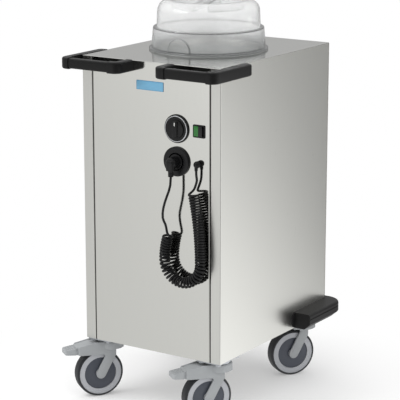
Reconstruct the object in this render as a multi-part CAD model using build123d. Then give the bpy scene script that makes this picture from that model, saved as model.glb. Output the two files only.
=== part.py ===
from build123d import *
import math
import os

import numpy as np

# Heated plate dispenser cart: a spring-loaded plate tube in a sheet-steel casing on four swivel castors.
# Millimetres. +Z is up, the floor is z = 0, the front panel faces -Y, and +X is the right-hand side.
# The origin is on the floor under the middle of the cart, measured over its handles and bumpers.

# ---------------------------------------------------------------- casing
CASING_WIDTH = 412.0
CASING_DEPTH = 525.0
CASING_BOTTOM = 161.0
CASING_TOP = 900.0
SHEET = 1.5
SHEET_BEND = 2.5
STRIP_WIDTH = 29.5
SEAM = 2.5
RETURN_DEPTH = 20.0
REAR_FLANGE = 20.0
PANEL_CLEARANCE = 0.3
DECK_EDGE_RADIUS = 1.0
TRAY_FLANGE = 25.0
SCREW_HEAD_DIAMETER = 8.0
SCREW_HEAD_HEIGHT = 2.2
SCREW_SHANK_DIAMETER = 4.0
SCREW_SHANK = 8.0
SCREW_INSET = 12.0
SCREW_ROW_END = 60.0
SCREW_ROWS = 4

# ---------------------------------------------------------------- plate lift
TUBE_BORE = 272.0
TUBE_WALL = 1.5
TUBE_BOTTOM = 190.0
TUBE_SLOT_WIDTH = 14.0
TUBE_SLOT_TOP = 662.0
RIM_HEIGHT = 6.0
RIM_WALL = 3.0
RIM_FLANGE = 2.5
DECK_HOLE_CLEARANCE = 0.5
PLATFORM_GAP = 2.0
PLATFORM_SHEET = 2.0
PLATFORM_BELOW_RIM = 8.0
PLATFORM_SKIRT = 12.0
LEG_DIAMETER = 10.0
LEG_CIRCLE = 220.0
HUB_INNER = 200.0
HUB_WIDTH = 18.0
ARM_THICKNESS = 6.0
ARM_WIDTH = 12.0
ARM_TOP = 643.0
ROD_DIAMETER = 8.0
ROD_CIRCLE = 316.0
ROD_CLEARANCE = 0.05
BUSH_DIAMETER = 16.0
BUSH_LENGTH = 20.0
SPRING_DIAMETER = 12.0
SPRING_WIRE = 1.6
SPRING_CIRCLE = 354.0
RING_THICKNESS = 3.0
RING_OUTER = 374.0
LUG_DROP = 12.0
LUG_SIZE = 8.0
LIFT_ANGLES = (90.0, 210.0, 330.0)

# ---------------------------------------------------------------- heating and controls
HEATER_CIRCLE = 210.0
HEATER_DIAMETER = 8.0
HEATER_HEIGHT = 18.0
HEATER_GAP = 30.0
CONTROL_X = 79.5
KNOB_Z = 743.0
SOCKET_Z = 661.5
SWITCH_X = 144.0
SWITCH_Z = 743.0
GLAND_X = 143.0
GLAND_Z = 662.0
SCALE_DIAMETER = 75.0
SCALE_THICKNESS = 3.0
KNOB_SKIRT_DIAMETER = 69.0
KNOB_SKIRT_HEIGHT = 2.5
KNOB_BODY_DIAMETER = 46.0
KNOB_BODY_HEIGHT = 3.0
KNOB_GRIP_WIDTH = 17.0
KNOB_GRIP_HEIGHT = 9.0
KNOB_GAP = 0.5
TRIM_RING_WALL = 2.0
SHAFT_DIAMETER = 6.0
SHAFT_LENGTH = 16.0
SHAFT_CLEARANCE = 0.05
THERMOSTAT_SIZE = 46.0
THERMOSTAT_DEPTH = 34.0
SWITCH_WIDTH = 35.0
SWITCH_HEIGHT = 32.0
SWITCH_FRAME = 3.0
SWITCH_PROUD = 2.5
SWITCH_BODY_DEPTH = 26.0
SWITCH_BODY_INSET = 2.0
ROCKER_GAP = 0.5
ROCKER_TILT = 7.0
ROCKER_BACK = 8.0
ROCKER_PROUD = 3.0
ROCKER_PIN_DIAMETER = 3.0
SOCKET_DIAMETER = 74.0
SOCKET_PROUD = 6.5
SOCKET_WELL_DIAMETER = 44.0
SOCKET_BODY_DIAMETER = 52.0
SOCKET_BODY_DEPTH = 30.0
PLUG_FACE_DIAMETER = 38.0
PLUG_FACE_DEPTH = 14.0
PLUG_REACH = 36.0
PLUG_BODY_WIDTH = 22.0
PLUG_EXIT_OFFSET = 28.0
PLUG_SLEEVE_DIAMETER = 11.0
PLUG_EXIT_Z = 628.0
PIN_DIAMETER = 4.8
PIN_SPACING = 19.0
PIN_LENGTH = 19.0
PIN_CLEARANCE = 0.2
GLAND_DIAMETER = 24.0
GLAND_PROUD = 17.0
GLAND_THREAD_DIAMETER = 16.0
GLAND_THREAD_LENGTH = 14.0
GLAND_EXIT_OFFSET = 12.0
GLAND_SLEEVE_DIAMETER = 9.0
GLAND_EXIT_Z = 647.0
BOX_LEFT = 22.0
BOX_RIGHT = 172.0
BOX_LOW = 612.0
BOX_HIGH = 792.0
BOX_DEPTH = 62.0
BADGE_WIDTH = 80.0
BADGE_HEIGHT = 23.0
BADGE_DROP = 59.0
BADGE_THICKNESS = 1.2

# ---------------------------------------------------------------- curly cord
CORD_DIAMETER = 6.0
COIL_DIAMETER = 28.0
COIL_OFFSET = 20.0
COIL_RIGHT_X = 160.6
COIL_LEFT_X = 55.0
COIL_BEND_Z = 415.0
COIL_TOP_Z = 604.0
COIL_RIGHT_RADIUS = 770.0
COIL_LEFT_RADIUS = 190.0
COIL_LEFT_TURN = 22.7
COIL_LAY = 6.6
COIL_END_PITCH = 100.0
COIL_END_LENGTH = 20.0

# ---------------------------------------------------------------- handles and bumpers
HANDLE_REACH = 65.0
HANDLE_DEPTH = 22.0
HANDLE_PROUD = 1.0
HANDLE_HEIGHT = 29.0
HANDLE_INNER_X = 51.0
HANDLE_SIDE_REACH = 25.0
HANDLE_SIDE_LENGTH = 109.0
ELBOW_LENGTH = 33.0
CORNER_LENGTH = 28.0
CORNER_RADIUS = 22.0
HANDLE_FILLET = 5.0
GRIP_STEP = 1.5
GRIP_BOTTOM_STEP = 2.0
BUMPER_REACH = 50.0
BUMPER_REAR_REACH = 20.0
BUMPER_START = 357.5
BUMPER_REAR_LENGTH = 70.0
BUMPER_BOTTOM = 163.0
BUMPER_TOP = 205.0
BUMPER_RADIUS = 45.0
BUMPER_CHAMFER = 12.0
BUMPER_FILLET = 7.0
BUMPER_GROOVE_DEPTH = 2.0
BUMPER_GROOVE_LOW = 190.5
BUMPER_GROOVE_HEIGHT = 3.0
BRACKET_THICKNESS = 3.0
BRACKET_LENGTH = 110.0
BRACKET_SHOWS = 12.0
BRACKET_CORNER = 14.0

# ---------------------------------------------------------------- castors
WHEEL_DIAMETER = 125.0
TYRE_WIDTH = 32.0
TYRE_THICKNESS = 6.0
TYRE_ROUND = 5.0
RIM_WIDTH = 30.0
RIM_DEPTH = 14.0
WEB_WIDTH = 10.0
HUB_DIAMETER = 34.0
HUB_LENGTH = 35.0
DISC_THICKNESS = 3.0
DISC_GAP = 0.4
DISC_RECESS = 1.0
AXLE_DIAMETER = 12.0
AXLE_CLEARANCE = 0.05
TRAIL = 34.0
CASTOR_SIDE_INSET = 38.0
CASTOR_END_INSET = 53.5
CASTOR_HEADING = 234.4
PLATE_WIDTH = 70.0
PLATE_LENGTH = 105.0
PLATE_THICKNESS = 3.0
PLATE_HOLES_X = 50.0
PLATE_HOLES_Y = 84.0
BOLT_DIAMETER = 8.0
BOLT_HOLE_CLEARANCE = 0.4
BOLT_HEAD = 13.0
BOLT_HEAD_HEIGHT = 5.3
BOLT_NUT_HEIGHT = 6.5
RACE_DIAMETER = 60.0
RACE_HEIGHT = 8.0
KING_PIN_DIAMETER = 12.0
KING_PIN_CLEARANCE = 0.05
KING_PIN_HEAD = 22.0
KING_PIN_HEAD_HEIGHT = 3.2
SWIVEL_GAP = 0.5
FORK_HEAD_DIAMETER = 68.0
FORK_HEAD_HEIGHT = 20.5
FORK_INSIDE = 37.0
FORK_WALL = 5.0
FORK_BACK = 28.0
LEG_RADIUS = 13.0
LEG_HEAD_U = 4.0
LEG_HEAD_Z = 118.0
SHROUD_LENGTH = 95.0
SHROUD_LOW = 113.0
SHROUD_NOSE_LOW = 118.0
SHROUD_NOSE_HIGH = 141.0
REAR_SHROUD_LENGTH = 36.0
PIVOT_U = 50.0
PIVOT_Z = 137.0
PIVOT_DIAMETER = 8.0
PIVOT_CLEARANCE = 0.05
PEDAL_CLEARANCE = 1.0
PEDAL_BACK = 38.0
PEDAL_LENGTH = 129.0
PEDAL_TIP_START = 99.0
PEDAL_TIP_WIDTH = 38.0
SHOE_U = 80.0
SHOE_Z = 118.0
SHOE_RADIUS = 5.0
PEDAL_RIBS = 5
RIB_PITCH = 6.0
RIB_HEIGHT = 1.2

# ---------------------------------------------------------------- lid
LID_WALL = 3.0
LID_FLANGE_DIAMETER = 305.0
LID_FLANGE_HEIGHT = 6.0
SKIRT_LOW_DIAMETER = 293.0
SKIRT_HIGH_DIAMETER = 284.0
SKIRT_HEIGHT = 57.5
DOME_LOW_DIAMETER = 266.0
DOME_HIGH_DIAMETER = 262.0
DOME_HEIGHT = 68.5
DOME_RADIUS = 28.0
RECESS_DIAMETER = 178.0
RECESS_DEPTH = 20.0
RIDGE_WIDTH = 34.0
RIDGE_HEADING = 111.0
RECESS_FILLET = 4.0
ARCH_DIAMETER = 70.0
ARCH_PROUD = 1.0
ARCH_RISE = 9.0
ARCH_HEADING = 272.0

# ---------------------------------------------------------------- places worked out from the sizes
casing_y = (HANDLE_REACH - BUMPER_REAR_REACH) / 2
front = casing_y - CASING_DEPTH / 2
rear = casing_y + CASING_DEPTH / 2
side = CASING_WIDTH / 2
deck_under = CASING_TOP - SHEET
tray_low = CASING_BOTTOM
tray_high = tray_low + SHEET
tube_radius = TUBE_BORE / 2
tube_outer = tube_radius + TUBE_WALL
rim_top = CASING_TOP + RIM_HEIGHT
strip_edge = side - STRIP_WIDTH
panel_edge = strip_edge - SEAM
cord_radius = CORD_DIAMETER / 2
coil_radius = (COIL_DIAMETER - CORD_DIAMETER) / 2
wheel_radius = WHEEL_DIAMETER / 2

nodes = {}


def block(x0, x1, y0, y1, z0, z1):
    """A box between two corners."""
    return Pos((x0 + x1) / 2, (y0 + y1) / 2, (z0 + z1) / 2) * Box(x1 - x0, y1 - y0, z1 - z0)


def post(x, y, z0, z1, diameter):
    """An upright cylinder."""
    return Pos(x, y, (z0 + z1) / 2) * Cylinder(diameter / 2, z1 - z0)


def peg(x, z, y0, y1, diameter):
    """A cylinder that points to the front, between two depths."""
    return Pos(x, (y0 + y1) / 2, z) * Rot(90, 0, 0) * Cylinder(diameter / 2, y1 - y0)


def turned(outline, axis=Axis.Z):
    """A solid of revolution from an outline of (radius, height) points, about the tube's centre line."""
    face = make_face(Plane.XZ * Polyline(*outline, close=True))
    return Pos(0, casing_y, 0) * revolve(face, Axis.Z, 360)


def around(radius, angle):
    """A point on a circle round the tube's centre line."""
    return (
        radius * math.cos(math.radians(angle)),
        casing_y + radius * math.sin(math.radians(angle)),
    )


def folded(points, radius, z0, z1):
    """Upright sheet metal folded along a line of (x, y) points on the middle of its thickness."""
    line = FilletPolyline(*points, radius=radius)
    return Pos(0, 0, z0) * extrude(trace(line, line_width=SHEET), amount=z1 - z0)


def group(solids):
    """Separate solids that share one node."""
    return Compound(children=list(solids))


def upright_edges(solid):
    return solid.edges().filter_by(Axis.Z)


# ================================================================ casing
# Each side panel is one sheet: a strip folded round the front, a return behind the seam and a rear flange.
half = SHEET / 2


def side_panel(hand):
    points = [
        (hand * (strip_edge + half), front + RETURN_DEPTH),
        (hand * (strip_edge + half), front + half),
        (hand * (side - half), front + half),
        (hand * (side - half), rear - SHEET - half),
        (hand * (side - REAR_FLANGE), rear - SHEET - half),
    ]
    return folded(points, SHEET_BEND - half, CASING_BOTTOM, deck_under)


nodes["left_side_panel"] = side_panel(-1)
nodes["right_side_panel"] = side_panel(1)

# The rear panel covers both rear flanges.
rear_panel = block(-side, side, rear - SHEET, rear, CASING_BOTTOM, deck_under)
screw_step = (deck_under - CASING_BOTTOM - 2 * SCREW_ROW_END) / (SCREW_ROWS - 1)
screw_places = [
    (hand * (side - SCREW_INSET), CASING_BOTTOM + SCREW_ROW_END + row * screw_step)
    for hand in (-1, 1)
    for row in range(SCREW_ROWS)
]
panel_screws = []
for x, z in screw_places:
    shank_end = rear - SCREW_SHANK
    rear_panel -= peg(x, z, rear - SHEET, rear, SCREW_SHANK_DIAMETER)
    for name in ("left_side_panel", "right_side_panel"):
        nodes[name] -= peg(x, z, rear - 3 * SHEET, rear - SHEET, SCREW_SHANK_DIAMETER)
    head = peg(x, z, rear, rear + SCREW_HEAD_HEIGHT, SCREW_HEAD_DIAMETER)
    head = fillet(head.edges().sort_by(Axis.Y)[-1], SCREW_HEAD_HEIGHT * 0.6)
    panel_screws.append(head + peg(x, z, shank_end, rear, SCREW_SHANK_DIAMETER))
nodes["rear_panel"] = rear_panel
nodes["panel_screws"] = group(panel_screws)

# The deck is the flat top, with a round opening for the tube.
deck = block(-side, side, front, rear, deck_under, CASING_TOP)
deck = fillet(upright_edges(deck), SHEET_BEND)
deck = fillet(deck.faces().sort_by(Axis.Z)[-1].edges(), DECK_EDGE_RADIUS)
deck -= post(0, casing_y, deck_under, CASING_TOP, 2 * (tube_outer + DECK_HOLE_CLEARANCE))
nodes["deck"] = deck

# The front panel is a shallow tray between the two seams.
front_panel = folded(
    [
        (-panel_edge + half, front + RETURN_DEPTH),
        (-panel_edge + half, front + half),
        (panel_edge - half, front + half),
        (panel_edge - half, front + RETURN_DEPTH),
    ],
    SHEET_BEND - half,
    CASING_BOTTOM,
    deck_under,
)
knob_hole = SHAFT_DIAMETER + 6 * PANEL_CLEARANCE
front_panel -= peg(CONTROL_X, KNOB_Z, front, front + SHEET, knob_hole)
front_panel -= peg(
    CONTROL_X, SOCKET_Z, front, front + SHEET, SOCKET_BODY_DIAMETER + 2 * PANEL_CLEARANCE
)
front_panel -= peg(
    GLAND_X, GLAND_Z, front, front + SHEET, GLAND_THREAD_DIAMETER + 2 * PANEL_CLEARANCE
)
switch_hole_x = SWITCH_WIDTH / 2 - SWITCH_BODY_INSET + PANEL_CLEARANCE
switch_hole_z = SWITCH_HEIGHT / 2 - SWITCH_BODY_INSET + PANEL_CLEARANCE
front_panel -= block(
    SWITCH_X - switch_hole_x,
    SWITCH_X + switch_hole_x,
    front,
    front + SHEET,
    SWITCH_Z - switch_hole_z,
    SWITCH_Z + switch_hole_z,
)
nodes["front_panel"] = front_panel

# The base tray carries the castors, the guide rods and the heater. Its flanges stand inside the panels, and
# its front corners are notched for the two seams.
tray_x = side - SHEET
tray_front = front + SHEET_BEND
tray_rear = rear - 2 * SHEET
tray_top = tray_low + TRAY_FLANGE
base_tray = block(-tray_x, tray_x, tray_front, tray_rear, tray_low, tray_top)
base_tray = fillet(upright_edges(base_tray), SHEET_BEND)
base_tray -= block(
    -tray_x + SHEET,
    tray_x - SHEET,
    tray_front + SHEET,
    tray_rear - SHEET,
    tray_high,
    tray_top,
)
seam_front = front + RETURN_DEPTH
base_tray -= block(-strip_edge - SHEET, -panel_edge + SHEET, front, seam_front, tray_low, tray_top)
base_tray -= block(panel_edge - SHEET, strip_edge + SHEET, front, seam_front, tray_low, tray_top)
castor_x = side - CASTOR_SIDE_INSET
castor_places = {
    "front_left": (-castor_x, front + CASTOR_END_INSET),
    "front_right": (castor_x, front + CASTOR_END_INSET),
    "rear_left": (-castor_x, rear - CASTOR_END_INSET),
    "rear_right": (castor_x, rear - CASTOR_END_INSET),
}
bolt_places = [
    (x + i * PLATE_HOLES_X / 2, y + j * PLATE_HOLES_Y / 2)
    for x, y in castor_places.values()
    for i in (-1, 1)
    for j in (-1, 1)
]
bolt_hole = BOLT_DIAMETER + BOLT_HOLE_CLEARANCE
for x, y in bolt_places:
    base_tray -= post(x, y, tray_low, tray_high, bolt_hole)
nodes["base_tray"] = base_tray

# ================================================================ plate lift
# The tube hangs in the deck by its rim. Three slots, open at the bottom, let the carriage's arms out.
rim_outer = tube_radius + RIM_WALL
flange_outer = rim_outer + RIM_FLANGE
tube = turned(
    [
        (tube_radius, TUBE_BOTTOM),
        (tube_outer, TUBE_BOTTOM),
        (tube_outer, CASING_TOP),
        (flange_outer, CASING_TOP),
        (flange_outer, CASING_TOP + SHEET),
        (rim_outer, CASING_TOP + SHEET),
        (rim_outer, rim_top),
        (tube_radius, rim_top),
    ]
)
tube = fillet(tube.faces().sort_by(Axis.Z)[-1].edges(), RIM_WALL * 0.45)
half_slot = TUBE_SLOT_WIDTH / 2
slot = block(tube_radius - 5, tube_outer + 5, -half_slot, half_slot, TUBE_BOTTOM, TUBE_SLOT_TOP)
for angle in LIFT_ANGLES:
    tube -= Pos(0, casing_y, 0) * Rot(0, 0, angle) * slot
nodes["dispensing_tube"] = tube

# The ring under the deck holds the guide rods' tops and a lug for each spring.
ring_low = deck_under - RING_THICKNESS
top_ring = turned(
    [
        (tube_outer + DECK_HOLE_CLEARANCE, ring_low),
        (RING_OUTER / 2, ring_low),
        (RING_OUTER / 2, deck_under),
        (tube_outer + DECK_HOLE_CLEARANCE, deck_under),
    ]
)
lug_low = ring_low - LUG_DROP
for angle in LIFT_ANGLES:
    x, y = around(SPRING_CIRCLE / 2, angle)
    top_ring += post(x, y, lug_low, ring_low, LUG_SIZE)
nodes["lift_top_ring"] = top_ring
nodes["guide_rods"] = group(
    post(*around(ROD_CIRCLE / 2, angle), tray_high, ring_low, ROD_DIAMETER) for angle in LIFT_ANGLES
)

# The carriage: a hub ring with three arms on the guide rods, and three legs that carry the platform.
platform_top = rim_top - PLATFORM_BELOW_RIM
platform_low = platform_top - PLATFORM_SHEET
arm_low = ARM_TOP - ARM_THICKNESS
hub_inner = HUB_INNER / 2
arm_end = SPRING_CIRCLE / 2 + LUG_SIZE / 2
carriage = turned(
    [
        (hub_inner, arm_low),
        (hub_inner + HUB_WIDTH, arm_low),
        (hub_inner + HUB_WIDTH, ARM_TOP),
        (hub_inner, ARM_TOP),
    ]
)
for angle in LIFT_ANGLES:
    arm = block(hub_inner + HUB_WIDTH / 2, arm_end, -ARM_WIDTH / 2, ARM_WIDTH / 2, arm_low, ARM_TOP)
    carriage += Pos(0, casing_y, 0) * Rot(0, 0, angle) * arm
    x, y = around(ROD_CIRCLE / 2, angle)
    bush_mid = (arm_low + ARM_TOP) / 2
    carriage += post(x, y, bush_mid - BUSH_LENGTH / 2, bush_mid + BUSH_LENGTH / 2, BUSH_DIAMETER)
    bush_bore = ROD_DIAMETER + 2 * ROD_CLEARANCE
    carriage -= post(x, y, bush_mid - BUSH_LENGTH, bush_mid + BUSH_LENGTH, bush_bore)
    carriage += post(*around(LEG_CIRCLE / 2, angle), ARM_TOP - 1, platform_low, LEG_DIAMETER)
nodes["lift_carriage"] = carriage

# The platform is a pressed disc with a turned-down edge, a small gap inside the tube.
platform_radius = tube_radius - PLATFORM_GAP
platform = turned(
    [
        (0, platform_low),
        (platform_radius - PLATFORM_SHEET, platform_low),
        (platform_radius - PLATFORM_SHEET, platform_top - PLATFORM_SKIRT),
        (platform_radius, platform_top - PLATFORM_SKIRT),
        (platform_radius, platform_top),
        (0, platform_top),
    ]
)
nodes["plate_platform"] = fillet(
    platform.edges().filter_by(GeomType.CIRCLE).sort_by(Axis.Z)[-1], PLATFORM_SHEET * 0.7
)

# Each extension spring hangs from its lug to its arm: a close-wound sleeve with a straight end each way.
springs = []
for angle in LIFT_ANGLES:
    x, y = around(SPRING_CIRCLE / 2, angle)
    coil_low = ARM_TOP + LUG_DROP
    coil_high = lug_low - LUG_DROP
    spring = post(x, y, coil_low, coil_high, SPRING_DIAMETER)
    spring -= post(x, y, coil_low + SPRING_WIRE, coil_high - SPRING_WIRE, SPRING_DIAMETER - 2 * SPRING_WIRE)
    spring += post(x, y, ARM_TOP, coil_low + SPRING_WIRE, 2 * SPRING_WIRE)
    spring += post(x, y, coil_high - SPRING_WIRE, lug_low, 2 * SPRING_WIRE)
    springs.append(spring)
nodes["lift_springs"] = group(springs)

# The heating element is an open ring of steel tube. Its two ends turn down to the tray, and two feet hold it.
heater_z = tray_high + HEATER_HEIGHT
heater_start = 90 + HEATER_GAP / 2
heater_ends = (heater_start, 90 - HEATER_GAP / 2)
heater = revolve(Plane.XZ * Pos(HEATER_CIRCLE / 2, 0) * Circle(HEATER_DIAMETER / 2), Axis.Z, 360 - HEATER_GAP)
heater = Pos(0, casing_y, heater_z) * Rot(0, 0, heater_start) * heater
for angle in heater_ends:
    x, y = around(HEATER_CIRCLE / 2, angle)
    heater += post(x, y, tray_high, heater_z, HEATER_DIAMETER)
    heater += Pos(x, y, heater_z) * Sphere(HEATER_DIAMETER / 2)
for angle in LIFT_ANGLES[1:]:
    heater += post(*around(HEATER_CIRCLE / 2, angle), tray_high, heater_z, HEATER_DIAMETER * 0.75)
nodes["heating_element"] = heater

# ================================================================ controls on the front panel
# The scale disc lies on the panel. The knob turns before it on a shaft that runs in the thermostat's bore.
scale_face = front - SCALE_THICKNESS
scale = peg(CONTROL_X, KNOB_Z, scale_face, front, SCALE_DIAMETER)
scale = fillet(scale.edges().sort_by(Axis.Y)[0], SCALE_THICKNESS / 3)
nodes["knob_scale"] = scale - peg(CONTROL_X, KNOB_Z, scale_face, front, knob_hole)

inside = front + SHEET
thermostat_low = KNOB_Z - THERMOSTAT_SIZE / 2
thermostat = block(
    CONTROL_X - THERMOSTAT_SIZE / 2,
    CONTROL_X + THERMOSTAT_SIZE / 2,
    inside,
    inside + THERMOSTAT_DEPTH,
    thermostat_low,
    thermostat_low + THERMOSTAT_SIZE,
)
shaft_bore = SHAFT_DIAMETER + 2 * SHAFT_CLEARANCE
shaft_end = inside + SHAFT_LENGTH
nodes["thermostat"] = thermostat - peg(CONTROL_X, KNOB_Z, inside, shaft_end + KNOB_GAP, shaft_bore)

skirt_back = scale_face - KNOB_GAP
skirt_face = skirt_back - KNOB_SKIRT_HEIGHT
body_face = skirt_face - KNOB_BODY_HEIGHT
knob = peg(CONTROL_X, KNOB_Z, skirt_face, skirt_back, KNOB_SKIRT_DIAMETER - 2 * TRIM_RING_WALL)
body = peg(CONTROL_X, KNOB_Z, body_face, skirt_face, KNOB_BODY_DIAMETER)
knob += fillet(body.edges().sort_by(Axis.Y)[0], KNOB_BODY_HEIGHT * 0.3)
grip = block(
    CONTROL_X - KNOB_GRIP_WIDTH / 2,
    CONTROL_X + KNOB_GRIP_WIDTH / 2,
    skirt_back - KNOB_GRIP_HEIGHT,
    skirt_face,
    KNOB_Z - KNOB_BODY_DIAMETER / 2 + 2,
    KNOB_Z + KNOB_BODY_DIAMETER / 2 - 2,
)
grip_front = grip.faces().sort_by(Axis.Y)[0]
knob += grip.fillet(KNOB_GRIP_WIDTH * 0.25, grip_front.edges())
nodes["control_knob"] = knob + peg(CONTROL_X, KNOB_Z, skirt_back, shaft_end, SHAFT_DIAMETER)
trim = peg(CONTROL_X, KNOB_Z, skirt_face, skirt_back, KNOB_SKIRT_DIAMETER)
trim = fillet(trim.edges().sort_by(Axis.Y)[0], TRIM_RING_WALL * 0.6)
nodes["knob_trim_ring"] = trim - peg(
    CONTROL_X, KNOB_Z, skirt_face, skirt_back, KNOB_SKIRT_DIAMETER - 2 * TRIM_RING_WALL
)

# The switch: a frame before the panel and a body behind it, with a well in which the rocker tilts sideways.


def at_switch(half_x, half_z, y0, y1):
    """A box about the switch's middle, between two depths."""
    return block(SWITCH_X - half_x, SWITCH_X + half_x, y0, y1, SWITCH_Z - half_z, SWITCH_Z + half_z)


frame_x = SWITCH_WIDTH / 2
frame_z = SWITCH_HEIGHT / 2
switch_face = front - SWITCH_PROUD
housing = at_switch(frame_x, frame_z, switch_face, front)
housing = fillet(housing.edges().filter_by(Axis.Y), SWITCH_FRAME)
housing = fillet(housing.faces().sort_by(Axis.Y)[0].edges(), SWITCH_PROUD * 0.5)
back_x = frame_x - SWITCH_BODY_INSET
back_z = frame_z - SWITCH_BODY_INSET
housing += at_switch(back_x, back_z, front, front + SWITCH_BODY_DEPTH)
well_x = frame_x - SWITCH_FRAME
well_z = frame_z - SWITCH_FRAME
housing -= at_switch(well_x, well_z, switch_face, front + ROCKER_BACK + 3)
pin_y = front + ROCKER_BACK / 2
pin_reach = (well_z + back_z) / 2
pin_bore = ROCKER_PIN_DIAMETER + 2 * SHAFT_CLEARANCE
housing -= post(SWITCH_X, pin_y, SWITCH_Z - pin_reach, SWITCH_Z + pin_reach, pin_bore)
nodes["switch_housing"] = housing

# The rocker's face is two flats that meet in the middle. At rest its left half is pressed in.
rocker_x = well_x - ROCKER_GAP
rocker_z = well_z - ROCKER_GAP
rocker_face = switch_face - ROCKER_PROUD
end_drop = rocker_x * math.tan(math.radians(ROCKER_TILT))
back_y = front + ROCKER_BACK
outline = [
    (-rocker_x + 1, rocker_face),
    (0, rocker_face + end_drop),
    (rocker_x - 1, rocker_face),
    (rocker_x - 1, front + ROCKER_BACK / 4),
    (rocker_x / 3, back_y),
    (-rocker_x / 3, back_y),
    (-rocker_x + 1, front + ROCKER_BACK / 4),
]
rocker = extrude(make_face(Polyline(*outline, close=True)), amount=2 * rocker_z)
rocker = Pos(SWITCH_X, 0, SWITCH_Z - rocker_z) * rocker
pin_half = pin_reach - ROCKER_GAP / 2
rocker += post(SWITCH_X, pin_y, SWITCH_Z - pin_half, SWITCH_Z + pin_half, ROCKER_PIN_DIAMETER)
pin_place = Pos(SWITCH_X, pin_y, 0)
nodes["switch_rocker"] = pin_place * Rot(0, 0, -ROCKER_TILT) * pin_place.inverse() * rocker

# The plug holder: a round black flange with a well, and a body behind the panel.
holder_face = front - SOCKET_PROUD
holder = peg(CONTROL_X, SOCKET_Z, holder_face, front, SOCKET_DIAMETER)
holder = fillet(holder.edges().sort_by(Axis.Y)[0], SOCKET_PROUD * 0.35)
holder += peg(CONTROL_X, SOCKET_Z, front, front + SOCKET_BODY_DEPTH, SOCKET_BODY_DIAMETER)
well_floor = holder_face + PLUG_FACE_DEPTH
holder -= peg(CONTROL_X, SOCKET_Z, holder_face, well_floor, SOCKET_WELL_DIAMETER)
pin_end = well_floor + PIN_LENGTH
pin_hole = PIN_DIAMETER + 2 * PIN_CLEARANCE
pin_columns = (CONTROL_X - PIN_SPACING / 2, CONTROL_X + PIN_SPACING / 2)
for x in pin_columns:
    holder -= peg(x, SOCKET_Z, well_floor, pin_end + PIN_CLEARANCE, pin_hole)
nodes["plug_holder"] = holder

# The angled plug: a round face with two pins in the well, a body before it and a sleeve that points down.
plug = peg(CONTROL_X, SOCKET_Z, holder_face - 2, well_floor, PLUG_FACE_DIAMETER)
for x in pin_columns:
    plug += peg(x, SOCKET_Z, well_floor, pin_end, PIN_DIAMETER)
plug_front = front - PLUG_REACH
neck = peg(CONTROL_X, SOCKET_Z, plug_front, holder_face - 2, PLUG_BODY_WIDTH + 6)
neck = fillet(neck.edges().sort_by(Axis.Y)[0], 6)
plug_y = front - PLUG_EXIT_OFFSET
barrel_low = SOCKET_Z - PLUG_FACE_DIAMETER / 2
barrel_half = PLUG_REACH - PLUG_EXIT_OFFSET
barrel = block(
    CONTROL_X - PLUG_BODY_WIDTH / 2,
    CONTROL_X + PLUG_BODY_WIDTH / 2,
    plug_y - barrel_half,
    plug_y + barrel_half,
    barrel_low,
    SOCKET_Z + PLUG_BODY_WIDTH / 3,
)
barrel = fillet(upright_edges(barrel), barrel_half * 0.6)
sleeve_radius = PLUG_SLEEVE_DIAMETER / 2
sleeve = Cone(sleeve_radius, sleeve_radius + 1.5, barrel_low - PLUG_EXIT_Z)
sleeve = Pos(CONTROL_X, plug_y, (PLUG_EXIT_Z + barrel_low) / 2) * sleeve
nodes["mains_plug"] = plug + neck + barrel + sleeve

# The cord gland: a round cap with a sleeve that points down, a threaded end and a nut behind the panel.
cap = peg(GLAND_X, GLAND_Z, front - GLAND_PROUD, front, GLAND_DIAMETER)
cap = fillet(cap.edges().sort_by(Axis.Y)[0], GLAND_PROUD / 2)
gland_y = front - GLAND_EXIT_OFFSET
cap += post(GLAND_X, gland_y, GLAND_EXIT_Z, GLAND_Z, GLAND_SLEEVE_DIAMETER)
cap += peg(GLAND_X, GLAND_Z, front, front + GLAND_THREAD_LENGTH, GLAND_THREAD_DIAMETER)
cap += peg(GLAND_X, GLAND_Z, inside, inside + SHEET * 3, GLAND_DIAMETER)
nodes["cord_gland"] = cap

# A sheet-metal box, open to the front, shuts off the back of the controls.
electrical_box = block(BOX_LEFT, BOX_RIGHT, inside, inside + BOX_DEPTH, BOX_LOW, BOX_HIGH)
electrical_box -= block(
    BOX_LEFT + SHEET,
    BOX_RIGHT - SHEET,
    inside,
    inside + BOX_DEPTH - SHEET,
    BOX_LOW + SHEET,
    BOX_HIGH - SHEET,
)
nodes["electrical_box"] = electrical_box

badge_z = CASING_TOP - BADGE_DROP
badge = block(
    -BADGE_WIDTH / 2,
    BADGE_WIDTH / 2,
    front - BADGE_THICKNESS,
    front,
    badge_z - BADGE_HEIGHT / 2,
    badge_z + BADGE_HEIGHT / 2,
)
nodes["badge_plate"] = fillet(badge.edges().filter_by(Axis.Y), BADGE_THICKNESS)

# ================================================================ curly cord
# The coil's middle line hangs in a plane before the panel: a long arc down, a half circle and a short arc up.
# A heading of 0 runs straight down, and one of -180 degrees straight up.
coil_y = front - COIL_OFFSET
bend_radius = (COIL_RIGHT_X - COIL_LEFT_X) / 2
first_turn = math.asin((COIL_TOP_Z - COIL_BEND_Z) / COIL_RIGHT_RADIUS)
arc_radii = [COIL_RIGHT_RADIUS, bend_radius, COIL_LEFT_RADIUS]
arc_turns = [first_turn, math.pi, math.radians(COIL_LEFT_TURN)]
arc_centres = [
    COIL_RIGHT_X - COIL_RIGHT_RADIUS,
    COIL_RIGHT_X - bend_radius,
    COIL_LEFT_X + COIL_LEFT_RADIUS,
]
coil_length = sum(r * t for r, t in zip(arc_radii, arc_turns))


def middle_line(s):
    """x, z, heading and radius of the coil's middle line at a distance s along it."""
    heading = first_turn
    for radius, turn, centre in zip(arc_radii, arc_turns, arc_centres):
        if s <= radius * turn or radius == COIL_LEFT_RADIUS:
            heading -= s / radius
            x = centre + radius * math.cos(heading)
            return x, COIL_BEND_Z + radius * math.sin(heading), heading, radius
        s -= radius * turn
        heading -= turn


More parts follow.
